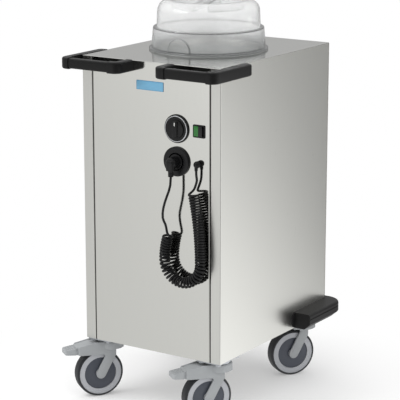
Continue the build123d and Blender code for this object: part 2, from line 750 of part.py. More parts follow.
def pitch(s):
    """Rise of one turn: close-wound at the inside of each arc, and opened out at both ends."""
    reach = 8.0
    near = [min(max(s + step, 0.0), coil_length) for step in (-reach, 0.0, reach)]
    wound = max(COIL_LAY / (1 - coil_radius / middle_line(q)[3]) for q in near)
    opened = max(0.0, 1 - min(s, coil_length - s) / COIL_END_LENGTH) ** 2
    return wound + (COIL_END_PITCH - wound) * opened


# Whole turns and a half, so the coil starts at its back and ends at its front, both times heading left.
steps = 6000
step = coil_length / steps
free_turns = sum(step / pitch((k + 0.5) * step) for k in range(steps))
turns = math.floor(free_turns - 0.5) + 0.5
stretch = free_turns / turns
stations = [0.0]
turned_so_far = 0.0
for k in range(steps):
    gain = step / (pitch((k + 0.5) * step) * stretch)
    while len(stations) <= 4 * turns and len(stations) / 4 <= turned_so_far + gain + 1e-9:
        stations.append((k + (len(stations) / 4 - turned_so_far) / gain) * step)
    turned_so_far += gain


def curl(s, phase):
    """Point and direction of the cord at a distance s along the coil. Phase 0 is the bend's outer side."""
    x, z, heading, radius = middle_line(s)
    along = Vector(math.sin(heading), 0, -math.cos(heading))
    outward = Vector(math.cos(heading), 0, math.sin(heading))
    back = Vector(0, 1, 0)
    cos, sin = math.cos(phase), math.sin(phase)
    point = Vector(x, coil_y, z) + outward * (coil_radius * cos) + back * (coil_radius * sin)
    rate = 2 * math.pi / (pitch(s) * stretch)
    sweep_round = (back * cos - outward * sin) * (coil_radius * rate)
    return point, (along * (1 + coil_radius * cos / radius) + sweep_round).normalized()


def biarc(start, start_way, end, end_way):
    """Two arcs that join two points and keep the direction at each."""
    chord = end - start
    ways = start_way + end_way
    spread = 2 * (1 - start_way.dot(end_way))
    across = chord.dot(ways)
    reach = (-across + math.sqrt(across**2 + spread * chord.dot(chord))) / spread
    joint = (start + end + (start_way - end_way) * reach) * 0.5
    joint_way = ((end - end_way * reach) - (start + start_way * reach)).normalized()
    return [Edge.make_tangent_arc(start, start_way, joint), Edge.make_tangent_arc(joint, joint_way, end)]


curls = [curl(s, math.pi / 2 * (1 + k)) for k, s in enumerate(stations)]
coil_start = curls[0][0] - curls[0][1] * CORD_DIAMETER
coil_end = curls[-1][0] + curls[-1][1] * CORD_DIAMETER
edges = [Edge.make_line(coil_start, curls[0][0])]
for (start, start_way), (end, end_way) in zip(curls, curls[1:]):
    edges += biarc(start, start_way, end, end_way)
edges.append(Edge.make_line(curls[-1][0], coil_end))
coil_path = Wire(edges)
coil_section = Plane(origin=coil_start, z_dir=curls[0][1]) * Circle(cord_radius)
cord_coil = sweep(coil_section, path=coil_path)
nodes["cord_coil"] = cord_coil

samples = np.array([tuple(edge @ t) for edge in edges for t in (0, 0.2, 0.4, 0.6, 0.8)])
run = np.concatenate([[0], np.cumsum(np.linalg.norm(np.diff(samples, axis=0), axis=1))])
apart = np.linalg.norm(samples[:, None] - samples[None], axis=2)
elsewhere = np.abs(run[:, None] - run[None]) > math.pi * coil_radius
print(f"coil: {turns} turns, least gap to itself {apart[elsewhere].min() - CORD_DIAMETER:.2f} mm")
print(f"coil: cord length {coil_path.length:.0f} mm, volume over section x length "
      f"{cord_coil.volume / (math.pi * cord_radius**2 * coil_path.length):.4f}")


def lead(name, points):
    """A plain tube of cord along straight runs joined by tangent arcs, each as large as its runs allow."""
    radii = []
    for a, b, c in zip(points, points[1:], points[2:]):
        turn = (b - a).get_angle(c - b)
        radii.append(0.45 * min((b - a).length, (c - b).length) / math.tan(math.radians(turn / 2)))
    line = FilletPolyline(*points, radius=radii)
    start_way = (points[1] - points[0]).normalized()
    tube = sweep(Plane(origin=points[0], z_dir=start_way) * Circle(cord_radius), path=line)
    section = math.pi * cord_radius**2
    print(f"{name}: length {line.length:.0f} mm, radii {[round(r, 1) for r in radii]}, "
          f"volume over section x length {tube.volume / (section * line.length):.4f}")
    nodes[name] = tube


# The upper lead drops from the gland and swings left to the back of the coil's top.
lead("cord_lead_top", [
    Vector(GLAND_X, gland_y, GLAND_EXIT_Z),
    Vector(GLAND_X, gland_y, GLAND_EXIT_Z - 11.5),
    coil_start - curls[0][1] * 14,
    coil_start,
])
# The lower lead rises from the coil's front, bulges out from the panel and goes up into the plug's sleeve.
lead("cord_lead_bottom", [
    coil_end,
    coil_end + curls[-1][1] * 14,
    Vector(60.5, front - 38, 523),
    Vector(66, front - 42, 552),
    Vector(74, front - 37, 581),
    Vector(CONTROL_X, plug_y, 605),
    Vector(CONTROL_X, plug_y, PLUG_EXIT_Z),
])

# ================================================================ handles
# Each handle is a grip bar between an inner elbow, whose arm meets the front panel, and a corner piece,
# whose arm lies along the side panel.
handle_top = CASING_TOP + HANDLE_PROUD
handle_low = handle_top - HANDLE_HEIGHT
bar_front = front - HANDLE_REACH
bar_back = bar_front + HANDLE_DEPTH
elbow_end = HANDLE_INNER_X + ELBOW_LENGTH
handle_side = side + HANDLE_SIDE_REACH
corner_start = handle_side - CORNER_LENGTH
side_end = front + HANDLE_SIDE_LENGTH


def plan(points):
    """A closed outline of (x, y) points, made into an upright piece between the handle's bottom and top."""
    return Pos(0, 0, handle_low) * extrude(make_face(Polyline(*points, close=True)), amount=HANDLE_HEIGHT)


def edge_near(solid, x, y):
    """The upright edge closest to a place in plan."""
    return min(upright_edges(solid), key=lambda e: math.hypot(e.center().X - x, e.center().Y - y))


elbow = plan([
    (HANDLE_INNER_X, bar_front),
    (elbow_end, bar_front),
    (elbow_end, bar_back),
    (HANDLE_INNER_X + HANDLE_DEPTH, bar_back),
    (HANDLE_INNER_X + HANDLE_DEPTH, front),
    (HANDLE_INNER_X, front),
])
elbow = fillet(edge_near(elbow, HANDLE_INNER_X, bar_front), CORNER_RADIUS)
flat_ends = [
    f for f in elbow.faces()
    if abs(f.center().X - elbow_end) < 0.01 or abs(f.center().Y - front) < 0.01
]
level = [e for f in elbow.faces().filter_by(Axis.Z) for e in f.edges()]
ends = [e for f in flat_ends for e in f.edges()]
elbow = fillet([e for e in level if not any(e.is_same(other) for other in ends)], HANDLE_FILLET)

corner = plan([
    (corner_start, bar_front),
    (handle_side, bar_front),
    (handle_side, side_end),
    (side, side_end),
    (side, front),
    (handle_side - HANDLE_DEPTH, front),
    (handle_side - HANDLE_DEPTH, bar_back),
    (corner_start, bar_back),
])
corner = fillet(edge_near(corner, handle_side, bar_front), CORNER_RADIUS)
corner = fillet(edge_near(corner, handle_side, side_end), HANDLE_SIDE_REACH * 0.6)
level = [e for f in corner.faces().filter_by(Axis.Z) for e in f.edges()]
outer = [e for e in level if e.center().X > side + 1 or abs(e.center().Y - bar_front) < 0.01]
corner = fillet(outer, HANDLE_FILLET)

grip_bar = block(
    elbow_end,
    corner_start,
    bar_front + GRIP_STEP,
    bar_back - GRIP_STEP,
    handle_low + GRIP_BOTTOM_STEP,
    handle_top - GRIP_STEP,
)
grip_bar = fillet(grip_bar.edges().filter_by(Axis.X), HANDLE_FILLET)

nodes["right_handle_grip"] = grip_bar
nodes["right_handle_ends"] = group([elbow, corner])
nodes["left_handle_grip"] = mirror(grip_bar, Plane.YZ)
nodes["left_handle_ends"] = group([mirror(elbow, Plane.YZ), mirror(corner, Plane.YZ)])

# ================================================================ rear bumpers
# Each bumper lies along the side panel over a steel bracket, rounds the corner and ends on the rear panel.
bumper_side = side + BUMPER_REACH
bumper_rear = rear + BUMPER_REAR_REACH
bumper_start = front + BUMPER_START
leg_end = side - BUMPER_REAR_LENGTH
end_radius = BUMPER_REAR_REACH * 0.6


def bumper_slice(inset, z0, z1):
    """The bumper's outline between two heights, with its outer sides moved in by an inset."""
    outer_x = bumper_side - inset
    outer_y = bumper_rear - inset
    inner_x = leg_end + inset
    outline = Polyline(
        (side, bumper_start),
        (outer_x, bumper_start),
        (outer_x, outer_y),
        (inner_x, outer_y),
        (inner_x, rear),
        (side, rear),
        close=True,
    )
    solid = Pos(0, 0, z0) * extrude(make_face(outline), amount=z1 - z0)
    solid = fillet(edge_near(solid, outer_x, outer_y), BUMPER_RADIUS - inset)
    return fillet(edge_near(solid, inner_x, outer_y), end_radius - inset)


def outer_rim(solid, z):
    """A bumper slice's outer edges at one height: those of the long side and the rounded rear corner."""
    return [
        e for e in solid.edges()
        if abs(e.bounding_box().min.Z - z) < 0.01
        and abs(e.bounding_box().max.Z - z) < 0.01
        and e.center().X > leg_end + 1
        and (e.center().X > bumper_side - BUMPER_RADIUS or e.center().Y > rear + 1)
        and e.center().Y > bumper_start + 1
    ]


groove_high = BUMPER_GROOVE_LOW + BUMPER_GROOVE_HEIGHT
lower = bumper_slice(0, BUMPER_BOTTOM, BUMPER_GROOVE_LOW)
lower = chamfer(outer_rim(lower, BUMPER_BOTTOM), BUMPER_CHAMFER)
upper = bumper_slice(0, groove_high, BUMPER_TOP)
upper = fillet(outer_rim(upper, BUMPER_TOP), BUMPER_FILLET)
bumper = lower + bumper_slice(BUMPER_GROOVE_DEPTH, BUMPER_GROOVE_LOW, groove_high) + upper

bracket = block(
    side,
    side + BRACKET_THICKNESS,
    bumper_start - BRACKET_SHOWS,
    bumper_start - BRACKET_SHOWS + BRACKET_LENGTH,
    BUMPER_BOTTOM + SHEET,
    BUMPER_TOP - SHEET,
)
bracket = fillet(bracket.edges().filter_by(Axis.X).group_by(Axis.Y)[0], BRACKET_CORNER)
bumper -= block(
    side,
    side + BRACKET_THICKNESS,
    bumper_start,
    bumper_start - BRACKET_SHOWS + BRACKET_LENGTH,
    BUMPER_BOTTOM + SHEET,
    BUMPER_TOP - SHEET,
)
nodes["right_rear_bumper"] = bumper
nodes["left_rear_bumper"] = mirror(bumper, Plane.YZ)
nodes["bumper_brackets"] = group([bracket, mirror(bracket, Plane.YZ)])

# ================================================================ castors
# A castor is drawn at its swivel axis with its trail along +X, then turned to its heading in its place.
plate_low = tray_low - PLATE_THICKNESS
race_low = plate_low - RACE_HEIGHT
fork_top = race_low - SWIVEL_GAP
fork_low = fork_top - FORK_HEAD_HEIGHT
fork_in = FORK_INSIDE / 2
fork_out = fork_in + FORK_WALL
king_pin_low = fork_low - SWIVEL_GAP / 2


def across(outline, w0, w1):
    """A plate from an outline of (trail, height) points, between two places across the wheel."""
    return extrude(Plane.XZ.offset(-w1) * make_face(Polyline(*outline, close=True)), amount=w1 - w0)


def bar_across(u, z, w0, w1, diameter):
    """A round bar across the wheel."""
    return Pos(u, (w0 + w1) / 2, z) * Rot(90, 0, 0) * Cylinder(diameter / 2, w1 - w0)


def wheel_turned(outline):
    """A solid of revolution about the axle, from an outline of (across, radius) points."""
    face = make_face(Plane.YZ * Polyline(*outline, close=True))
    return Pos(TRAIL, 0, wheel_radius) * revolve(face, Axis.Y, 360)


def cheek(w0, w1, shroud):
    """One side of the fork: a head, a slanted leg with a round end over the axle and, if asked, a shroud."""
    head = across(
        [
            (-FORK_BACK, fork_low),
            (-FORK_BACK, fork_top),
            (REAR_SHROUD_LENGTH, fork_top),
            (REAR_SHROUD_LENGTH, fork_low),
        ],
        w0,
        w1,
    )
    lean_u = TRAIL - LEG_HEAD_U
    lean_z = wheel_radius - LEG_HEAD_Z
    lean = math.hypot(lean_u, lean_z)
    off_u = -lean_z / lean * LEG_RADIUS
    off_z = lean_u / lean * LEG_RADIUS
    leg = across(
        [
            (TRAIL + off_u, wheel_radius + off_z),
            (LEG_HEAD_U + off_u, LEG_HEAD_Z + off_z),
            (LEG_HEAD_U - off_u, fork_low + off_z),
            (LEG_HEAD_U - off_u, LEG_HEAD_Z - off_z),
            (TRAIL - off_u, wheel_radius - off_z),
        ],
        w0,
        w1,
    )
    solid = head + leg + bar_across(TRAIL, wheel_radius, w0, w1, 2 * LEG_RADIUS)
    if shroud:
        solid += across(
            [
                (LEG_HEAD_U, SHROUD_LOW),
                (LEG_HEAD_U, fork_top),
                (PIVOT_U, fork_top),
                (SHROUD_LENGTH, SHROUD_NOSE_HIGH),
                (SHROUD_LENGTH, SHROUD_NOSE_LOW),
            ],
            w0,
            w1,
        )
    return solid


def fork(shroud):
    """The swivel fork: a round head on the king pin, and a cheek on each side of the wheel."""
    solid = post(0, 0, fork_low, fork_top, FORK_HEAD_DIAMETER)
    solid += cheek(fork_in, fork_out, shroud)
    solid += cheek(-fork_out, -fork_in, shroud)
    solid -= post(0, 0, fork_low, fork_top, KING_PIN_DIAMETER + 2 * KING_PIN_CLEARANCE)
    seat = fork_in + FORK_WALL * 0.7
    solid -= bar_across(TRAIL, wheel_radius, -seat, seat, AXLE_DIAMETER + 2 * AXLE_CLEARANCE)
    if shroud:
        solid -= bar_across(PIVOT_U, PIVOT_Z, -seat, seat, PIVOT_DIAMETER + 2 * PIVOT_CLEARANCE)
    return solid


def brake_pedal():
    """The brake lever between the fork's cheeks, with a shoe over the tyre and a wide ribbed tip."""
    lever_half = fork_in - PEDAL_CLEARANCE
    tip_low = SHROUD_NOSE_LOW + 1
    tip_high = SHROUD_NOSE_HIGH - 3
    solid = across(
        [
            (PEDAL_BACK, PIVOT_Z - 6),
            (PEDAL_BACK, PIVOT_Z + 9),
            (PIVOT_U + 8, PIVOT_Z + 10.5),
            (PEDAL_TIP_START, tip_high + 1),
            (PEDAL_TIP_START + 4, tip_low + 2),
            (SHOE_U, SHOE_Z),
            (PIVOT_U, PIVOT_Z - 11),
        ],
        -lever_half,
        lever_half,
    )
    solid += bar_across(SHOE_U, SHOE_Z, -lever_half, lever_half, 2 * SHOE_RADIUS)
    tip = across(
        [
            (PEDAL_TIP_START, tip_low),
            (PEDAL_TIP_START, tip_high + 1),
            (PEDAL_LENGTH, tip_high - 4),
            (PEDAL_LENGTH, tip_low + 3),
        ],
        -PEDAL_TIP_WIDTH / 2,
        PEDAL_TIP_WIDTH / 2,
    )
    tip = fillet(tip.edges().filter_by(Axis.Z).group_by(Axis.X)[-1], 7)
    solid += tip
    for rib in range(PEDAL_RIBS):
        u = PEDAL_TIP_START + 3 + rib * RIB_PITCH
        z = tip_high + 1 - (u - PEDAL_TIP_START) * 5 / (PEDAL_LENGTH - PEDAL_TIP_START)
        rib_half = PEDAL_TIP_WIDTH / 2 - 5
        solid += block(u - 1.2, u + 1.2, -rib_half, rib_half, z - 2, z + RIB_HEIGHT)
    trunnion = fork_in + FORK_WALL * 0.6
    return solid + bar_across(PIVOT_U, PIVOT_Z, -trunnion, trunnion, PIVOT_DIAMETER)


tyre_half = TYRE_WIDTH / 2
rim_half = RIM_WIDTH / 2
web_half = WEB_WIDTH / 2
hub_half = HUB_LENGTH / 2
rim_radius = wheel_radius - TYRE_THICKNESS
rim_inner = rim_radius - RIM_DEPTH
hub_radius = HUB_DIAMETER / 2
bore_radius = AXLE_DIAMETER / 2 + AXLE_CLEARANCE

wheel = wheel_turned([
    (-hub_half, bore_radius),
    (-hub_half, hub_radius),
    (-web_half, hub_radius),
    (-web_half, rim_inner),
    (-rim_half, rim_inner),
    (-rim_half, rim_radius),
    (rim_half, rim_radius),
    (rim_half, rim_inner),
    (web_half, rim_inner),
    (web_half, hub_radius),
    (hub_half, hub_radius),
    (hub_half, bore_radius),
])
tyre = wheel_turned([
    (-tyre_half, rim_radius),
    (-tyre_half, wheel_radius),
    (tyre_half, wheel_radius),
    (tyre_half, rim_radius),
])
tread_edges = [e for e in tyre.edges().filter_by(GeomType.CIRCLE) if e.radius > wheel_radius - 0.01]
tyre = fillet(tread_edges, TYRE_ROUND)
disc_out = rim_half - DISC_RECESS
wheel_disc = wheel_turned([
    (disc_out - DISC_THICKNESS, hub_radius + DISC_GAP),
    (disc_out, hub_radius + DISC_GAP),
    (disc_out - DISC_RECESS, rim_inner - DISC_GAP),
    (disc_out - DISC_RECESS - DISC_THICKNESS, rim_inner - DISC_GAP),
])
axle_half = fork_in + FORK_WALL * 0.6
axle = bar_across(TRAIL, wheel_radius, -axle_half, axle_half, AXLE_DIAMETER)

mounting_plates = []
for name, (x, y) in castor_places.items():
    place = Pos(x, y, 0) * Rot(0, 0, CASTOR_HEADING)
    braked = name.startswith("front")
    nodes[f"castor_{name}_fork"] = place * fork(braked)
    nodes[f"castor_{name}_axle"] = place * axle
    nodes[f"castor_{name}_wheel"] = place * wheel
    nodes[f"castor_{name}_tyre"] = place * tyre
    nodes[f"castor_{name}_discs"] = group([place * wheel_disc, place * mirror(wheel_disc, Plane.XZ)])
    if braked:
        nodes[f"castor_{name}_pedal"] = place * brake_pedal()
    plate = Pos(0, 0, (plate_low + tray_low) / 2) * Box(PLATE_WIDTH, PLATE_LENGTH, PLATE_THICKNESS)
    plate = fillet(upright_edges(plate), PLATE_THICKNESS * 2)
    plate += post(0, 0, race_low, plate_low, RACE_DIAMETER)
    for i in (-1, 1):
        for j in (-1, 1):
            hole = (i * PLATE_HOLES_X / 2, j * PLATE_HOLES_Y / 2)
            plate -= post(*hole, plate_low, tray_low, bolt_hole)
    mounting_plates.append(Pos(x, y, 0) * plate)
    pin = post(0, 0, king_pin_low, race_low, KING_PIN_DIAMETER)
    pin += post(0, 0, king_pin_low - KING_PIN_HEAD_HEIGHT, king_pin_low, KING_PIN_HEAD)
    mounting_plates.append(Pos(x, y, 0) * pin)
nodes["castor_plates"] = group(mounting_plates)

bolts = []
for x, y in bolt_places:
    hexagon = RegularPolygon(BOLT_HEAD / 2, 6, major_radius=False)
    bolt = Pos(x, y, plate_low - BOLT_HEAD_HEIGHT) * extrude(hexagon, amount=BOLT_HEAD_HEIGHT)
    bolt += Pos(x, y, tray_high) * extrude(hexagon, amount=BOLT_NUT_HEIGHT)
    bolt += post(x, y, plate_low, tray_high + BOLT_NUT_HEIGHT + 4, BOLT_DIAMETER)
    bolts.append(bolt)
nodes["castor_bolts"] = group(bolts)

# ================================================================ lid
# The clear lid stands on the deck round the tube's rim: flange, sloping skirt, ledge and a dome. Two finger
# recesses leave a ridge to hold, and an arched thumb pad is moulded on the skirt.
flange_radius = LID_FLANGE_DIAMETER / 2
skirt_low = SKIRT_LOW_DIAMETER / 2
skirt_high = SKIRT_HIGH_DIAMETER / 2
dome_low = DOME_LOW_DIAMETER / 2
dome_high = DOME_HIGH_DIAMETER / 2
flange_top = CASING_TOP + LID_FLANGE_HEIGHT
skirt_top = CASING_TOP + SKIRT_HEIGHT
dome_top = skirt_top + DOME_HEIGHT
# The ledge's inner face lies a wall below it, or a wall above it where the dome is wider than the skirt.
ledge_under = skirt_top - math.copysign(LID_WALL, skirt_high - dome_low)
outer_shape = turned([
    (0, CASING_TOP),
    (flange_radius, CASING_TOP),
    (flange_radius, flange_top),
    (skirt_low, flange_top),
    (skirt_high, skirt_top),
    (dome_low, skirt_top),
    (dome_high, dome_top),
    (0, dome_top),
])
inner_shape = turned([
    (0, CASING_TOP),
    (skirt_low - LID_WALL, CASING_TOP),
    (skirt_high - LID_WALL, ledge_under),
    (dome_low - LID_WALL, ledge_under),
    (dome_high - LID_WALL, dome_top - LID_WALL),
    (0, dome_top - LID_WALL),
])


def ring_edges(solid, radius, z):
    """The circular edges of one radius at one height."""
    return [
        e for e in solid.edges().filter_by(GeomType.CIRCLE)
        if abs(e.radius - radius) < 0.01 and abs(e.arc_center.Z - z) < 0.01
    ]


outer_shape = fillet(ring_edges(outer_shape, dome_high, dome_top), DOME_RADIUS)
outer_shape = fillet(ring_edges(outer_shape, skirt_high, skirt_top), LID_WALL * 0.6)
outer_shape = fillet(ring_edges(outer_shape, dome_low, skirt_top), LID_WALL * 0.6)
inner_edge = ring_edges(inner_shape, dome_high - LID_WALL, dome_top - LID_WALL)
inner_shape = fillet(inner_edge, DOME_RADIUS - LID_WALL)

recess_radius = RECESS_DIAMETER / 2
recess_floor = dome_top - RECESS_DEPTH


def recess(radius, half_ridge, floor):
    """The two half-moon recesses of a round dish on either side of the ridge."""
    dish = post(0, 0, floor, dome_top + 1, 2 * radius)
    dish -= block(-radius, radius, -half_ridge, half_ridge, floor, dome_top + 1)
    return [Pos(0, casing_y, 0) * Rot(0, 0, RIDGE_HEADING) * half_moon for half_moon in dish.solids()]


for half_moon in recess(recess_radius + LID_WALL, RIDGE_WIDTH / 2 - LID_WALL, recess_floor - LID_WALL):
    inner_shape -= half_moon

# The thumb pad is round at its top and stands on the flange.
pad_depth = ARCH_PROUD + 4 * LID_WALL
pad = Pos(0, 0, CASING_TOP + ARCH_RISE) * Rot(0, 90, 0) * Cylinder(ARCH_DIAMETER / 2, pad_depth)
pad += Pos(0, 0, CASING_TOP + ARCH_RISE / 2) * Box(pad_depth, ARCH_DIAMETER, ARCH_RISE)
pad &= block(-pad_depth, pad_depth, -ARCH_DIAMETER, ARCH_DIAMETER, CASING_TOP, skirt_top)
pad_middle = skirt_low + ARCH_PROUD - pad_depth / 2
outer_shape += Pos(0, casing_y, 0) * Rot(0, 0, ARCH_HEADING) * Pos(pad_middle, 0, 0) * pad
lid = outer_shape - inner_shape
for half_moon in recess(recess_radius, RIDGE_WIDTH / 2, recess_floor):
    lid -= half_moon.fillet(RECESS_FILLET, half_moon.faces().sort_by(Axis.Z)[0].edges())
nodes["lid"] = lid

# ================================================================ one file for each node
os.makedirs("parts", exist_ok=True)
for name, shape in nodes.items():
    export_step(shape, f"parts/{name}.step")
print(f"{len(nodes)} nodes")
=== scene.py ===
import math

import bmesh
import bpy
import numpy as np
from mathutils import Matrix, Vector


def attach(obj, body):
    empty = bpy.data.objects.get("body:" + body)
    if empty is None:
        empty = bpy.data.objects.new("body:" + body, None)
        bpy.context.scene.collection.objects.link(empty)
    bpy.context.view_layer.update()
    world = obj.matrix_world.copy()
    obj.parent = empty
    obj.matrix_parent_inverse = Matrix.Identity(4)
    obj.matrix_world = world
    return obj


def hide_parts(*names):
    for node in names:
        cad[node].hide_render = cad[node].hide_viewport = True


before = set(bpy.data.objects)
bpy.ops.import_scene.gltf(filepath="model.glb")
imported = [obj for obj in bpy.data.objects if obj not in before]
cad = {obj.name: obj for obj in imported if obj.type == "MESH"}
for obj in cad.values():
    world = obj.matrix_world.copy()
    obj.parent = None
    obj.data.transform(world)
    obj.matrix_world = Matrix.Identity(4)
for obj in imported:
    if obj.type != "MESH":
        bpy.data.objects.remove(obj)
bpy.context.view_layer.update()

# ================================================================ camera
# The photograph is taken from the front right, a little above the deck, with a long lens that keeps the
# casing's uprights nearly parallel. The object's sizes are in millimetres; shaders and lamps are in metres.
CASING_Y, FRONT = 22.5, -240.0
azimuth, elevation = math.radians(33.3274), math.radians(13.5602)
looked_at, distance = Vector((-0.02633, CASING_Y / 1000, 0.4975)), 4.54469
back = Vector((math.sin(azimuth) * math.cos(elevation), -math.cos(azimuth) * math.cos(elevation),
               math.sin(elevation)))
lens = bpy.data.cameras.new("camera")
lens.lens, lens.sensor_width = 156.06, 36.0
camera = bpy.data.objects.new("camera", lens)
bpy.context.scene.collection.objects.link(camera)
camera.location = looked_at + back * distance
camera.rotation_mode = "QUATERNION"
camera.rotation_quaternion = (-back).to_track_quat("-Z", "Y")
bpy.context.scene.camera = camera
bpy.context.scene.view_settings.view_transform = "Standard"

# ================================================================ curly cord
# The supply cord is rubber-sheathed, 6 mm thick, and wound into a close curl 28 mm across that hangs as a U
# before the panel. It leaves the gland, and ends in an angled plug that is parked in its holder.


def linear(colour):
    """An sRGB hex colour as the linear one that a shader takes: the curve of the sRGB standard."""
    parts = np.array([int(colour[i:i + 2], 16) for i in (1, 3, 5)]) / 255
    return (*np.where(parts <= 0.04045, parts / 12.92, ((parts + 0.055) / 1.055) ** 2.4), 1.0)


def node(tree, kind, inputs=(), **settings):
    """Adds a node with its settings. An input takes a value, or another node's output, which is linked."""
    made = tree.nodes.new("ShaderNode" + kind)
    for name, value in settings.items():
        setattr(made, name, value)
    for name, value in dict(inputs).items():
        if isinstance(value, bpy.types.NodeSocket):
            tree.links.new(value, made.inputs[name])
        else:
            made.inputs[name].default_value = value
    return made


def bare_material(name, colour, roughness, metallic=0.0, ior=1.5):
    """A material with one colour, roughness, metal and index. It is returned with its node tree, its shader
    and the place on the object that its patterns read."""
    made = bpy.data.materials.new(name)
    made.use_nodes = True
    tree = made.node_tree
    shader = tree.nodes["Principled BSDF"]
    shader.inputs["Base Color"].default_value = linear(colour)
    shader.inputs["Roughness"].default_value = roughness
    shader.inputs["Metallic"].default_value = metallic
    shader.inputs["IOR"].default_value = ior
    return made, tree, shader, node(tree, "TexCoord").outputs["Object"]


DRIFT_MM, GLOSS_DRIFT = 60, 0.05


def mottled(name, colour, light_colour, roughness, grain_mm, depth_mm, ior=1.5, specular=0.5):
    """A moulded finish: a soft drift between two tones over 60 mm, and a fine grain that dents the surface.
    A specular level under 0.5 stands for a grain whose pits shade part of the gloss."""
    made, tree, shader, place = bare_material(name, colour, roughness, ior=ior)
    shader.inputs["Specular IOR Level"].default_value = specular
    drift = node(tree, "TexNoise", {"Vector": place, "Scale": 1000 / DRIFT_MM, "Detail": 3.0})
    tone = node(tree, "MixRGB", {"Fac": drift.outputs["Fac"], "Color1": linear(colour),
                                 "Color2": linear(light_colour)})
    tree.links.new(tone.outputs["Color"], shader.inputs["Base Color"])
    grain = node(tree, "TexNoise", {"Vector": place, "Scale": 1000 / grain_mm, "Detail": 2.0})
    dent = node(tree, "Bump", {"Height": grain.outputs["Fac"], "Distance": depth_mm / 1000, "Strength": 1.0})
    tree.links.new(dent.outputs["Normal"], shader.inputs["Normal"])
    rough = node(tree, "MapRange", {"Value": drift.outputs["Fac"], "To Min": roughness - GLOSS_DRIFT,
                                    "To Max": roughness + GLOSS_DRIFT})
    tree.links.new(rough.outputs["Result"], shader.inputs["Roughness"])
    return made


# Rubber cord sheath: matt black with a weak sheen along each turn. Its talc-like bloom is finer than 1 mm, so
# it is drawn a little coarser to show.
cord_rubber = mottled("rubber cord sheath", "#0E0E0F", "#141415", 0.42, 1.2, 0.02, 1.52, 0.35)

# The U's middle line: an outer leg that bows out over its height, a half turn, and a shorter inner leg.
OUTER_X, INNER_X, BEND_Z, CURL_OUT = 160.6, 55.0, 415.0, 20.0
OUTER_BOW, OUTER_HEIGHT, INNER_BOW, INNER_TURN = 770.0, 189.0, 190.0, math.radians(22.7)
bend_radius = (OUTER_X - INNER_X) / 2
arc_radii = np.array([OUTER_BOW, bend_radius, INNER_BOW])
arc_turns = np.array([math.asin(OUTER_HEIGHT / OUTER_BOW), math.pi, INNER_TURN])
arc_centres = np.array([OUTER_X - OUTER_BOW, OUTER_X - bend_radius, INNER_X + INNER_BOW])
arc_ends = np.cumsum(arc_radii * arc_turns)
arc_starts = arc_ends - arc_radii * arc_turns
start_headings = arc_turns[0] - (np.cumsum(arc_turns) - arc_turns)
# Turns lie 6.6 mm apart on the inside of each arc, and open towards 100 mm over the curl's last 20 mm.
CURL_RADIUS, LAY, END_PITCH, END_LENGTH, EASE = 11.0, 6.6, 100.0, 20.0, 8.0


def middle_line(s):
    """The three arcs in a row: x = centre + radius cos(heading), z = bend's height + radius sin(heading)."""
    arc = np.clip(np.searchsorted(arc_ends, s), 0, 2)
    way = start_headings[arc] - (s - arc_starts[arc]) / arc_radii[arc]
    x = arc_centres[arc] + arc_radii[arc] * np.cos(way)
    return x, BEND_Z + arc_radii[arc] * np.sin(way), way, arc_radii[arc]


steps = 6000
run = (np.arange(steps) + 0.5) * arc_ends[-1] / steps
near = np.clip(run[:, None] + np.array([-EASE, 0.0, EASE]), 0, arc_ends[-1])
wound = (LAY / (1 - CURL_RADIUS / middle_line(near)[3])).max(axis=1)
opened = np.maximum(0, 1 - np.minimum(run, arc_ends[-1] - run) / END_LENGTH) ** 2
pitch = wound + (END_PITCH - wound) * opened
turned_by = np.concatenate([[0], np.cumsum(arc_ends[-1] / steps / pitch)])
turns = math.floor(turned_by[-1] - 0.5) + 0.5
turned_by *= turns / turned_by[-1]


def curl(turn, radius):
    """The helix at a count of turns: middle line + radius (outward cos + back sin), starting at its back."""
    s = np.interp(turn, turned_by, np.linspace(0, arc_ends[-1], steps + 1))
    x, z, way, _ = middle_line(s)
    phase = 2 * math.pi * turn + math.pi / 2
    out = radius * np.cos(phase)
    y = FRONT - CURL_OUT + radius * np.sin(phase)
    return np.stack([x + out * np.cos(way), y, z + out * np.sin(way)], -1)


# The points of each turn are set out a little wider, because the spline cuts inside them. Two plain leads
# join the curl to the gland and to the plug.
TURN_POINTS = 16
helix = curl(np.arange(TURN_POINTS * turns + 1) / TURN_POINTS, CURL_RADIUS / math.cos(math.pi / TURN_POINTS))
first, second, before_last, last = curl(np.array([0, 1e-3, turns - 1e-3, turns]), CURL_RADIUS)
start_way = (second - first) / np.linalg.norm(second - first)
end_way = (last - before_last) / np.linalg.norm(last - before_last)
GLAND_X, PLUG_X, GLAND_OUT, PLUG_OUT = 143.0, 79.5, 12.0, 28.0
cord_points = np.concatenate([
    [(GLAND_X, FRONT - GLAND_OUT, 647), (GLAND_X, FRONT - GLAND_OUT, 635.5), first - start_way * 20,
     first - start_way * 6],
    helix,
    [last + end_way * 6, last + end_way * 20, (60.5, FRONT - 38, 523), (66, FRONT - 42, 552),
     (74, FRONT - 37, 581), (PLUG_X, FRONT - PLUG_OUT, 605), (PLUG_X, FRONT - PLUG_OUT, 628)],
])
cord_line = bpy.data.curves.new("curly_cord", "CURVE")
cord_line.dimensions = "3D"
cord_line.bevel_depth, cord_line.bevel_resolution = 0.003, 3
cord_line.use_fill_caps = True
spline = cord_line.splines.new("NURBS")
spline.points.add(len(cord_points) - 1)
weights = np.ones((len(cord_points), 1))
spline.points.foreach_set("co", np.concatenate([cord_points / 1000, weights], axis=1).ravel())
spline.order_u, spline.use_endpoint_u, spline.resolution_u = 3, True, 2
cord_line.materials.append(cord_rubber)
curly_cord = bpy.data.objects.new("curly_cord", cord_line)
bpy.context.scene.collection.objects.link(curly_cord)
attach(curly_cord, "cart")
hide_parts("cord_lead_top", "cord_coil", "cord_lead_bottom")

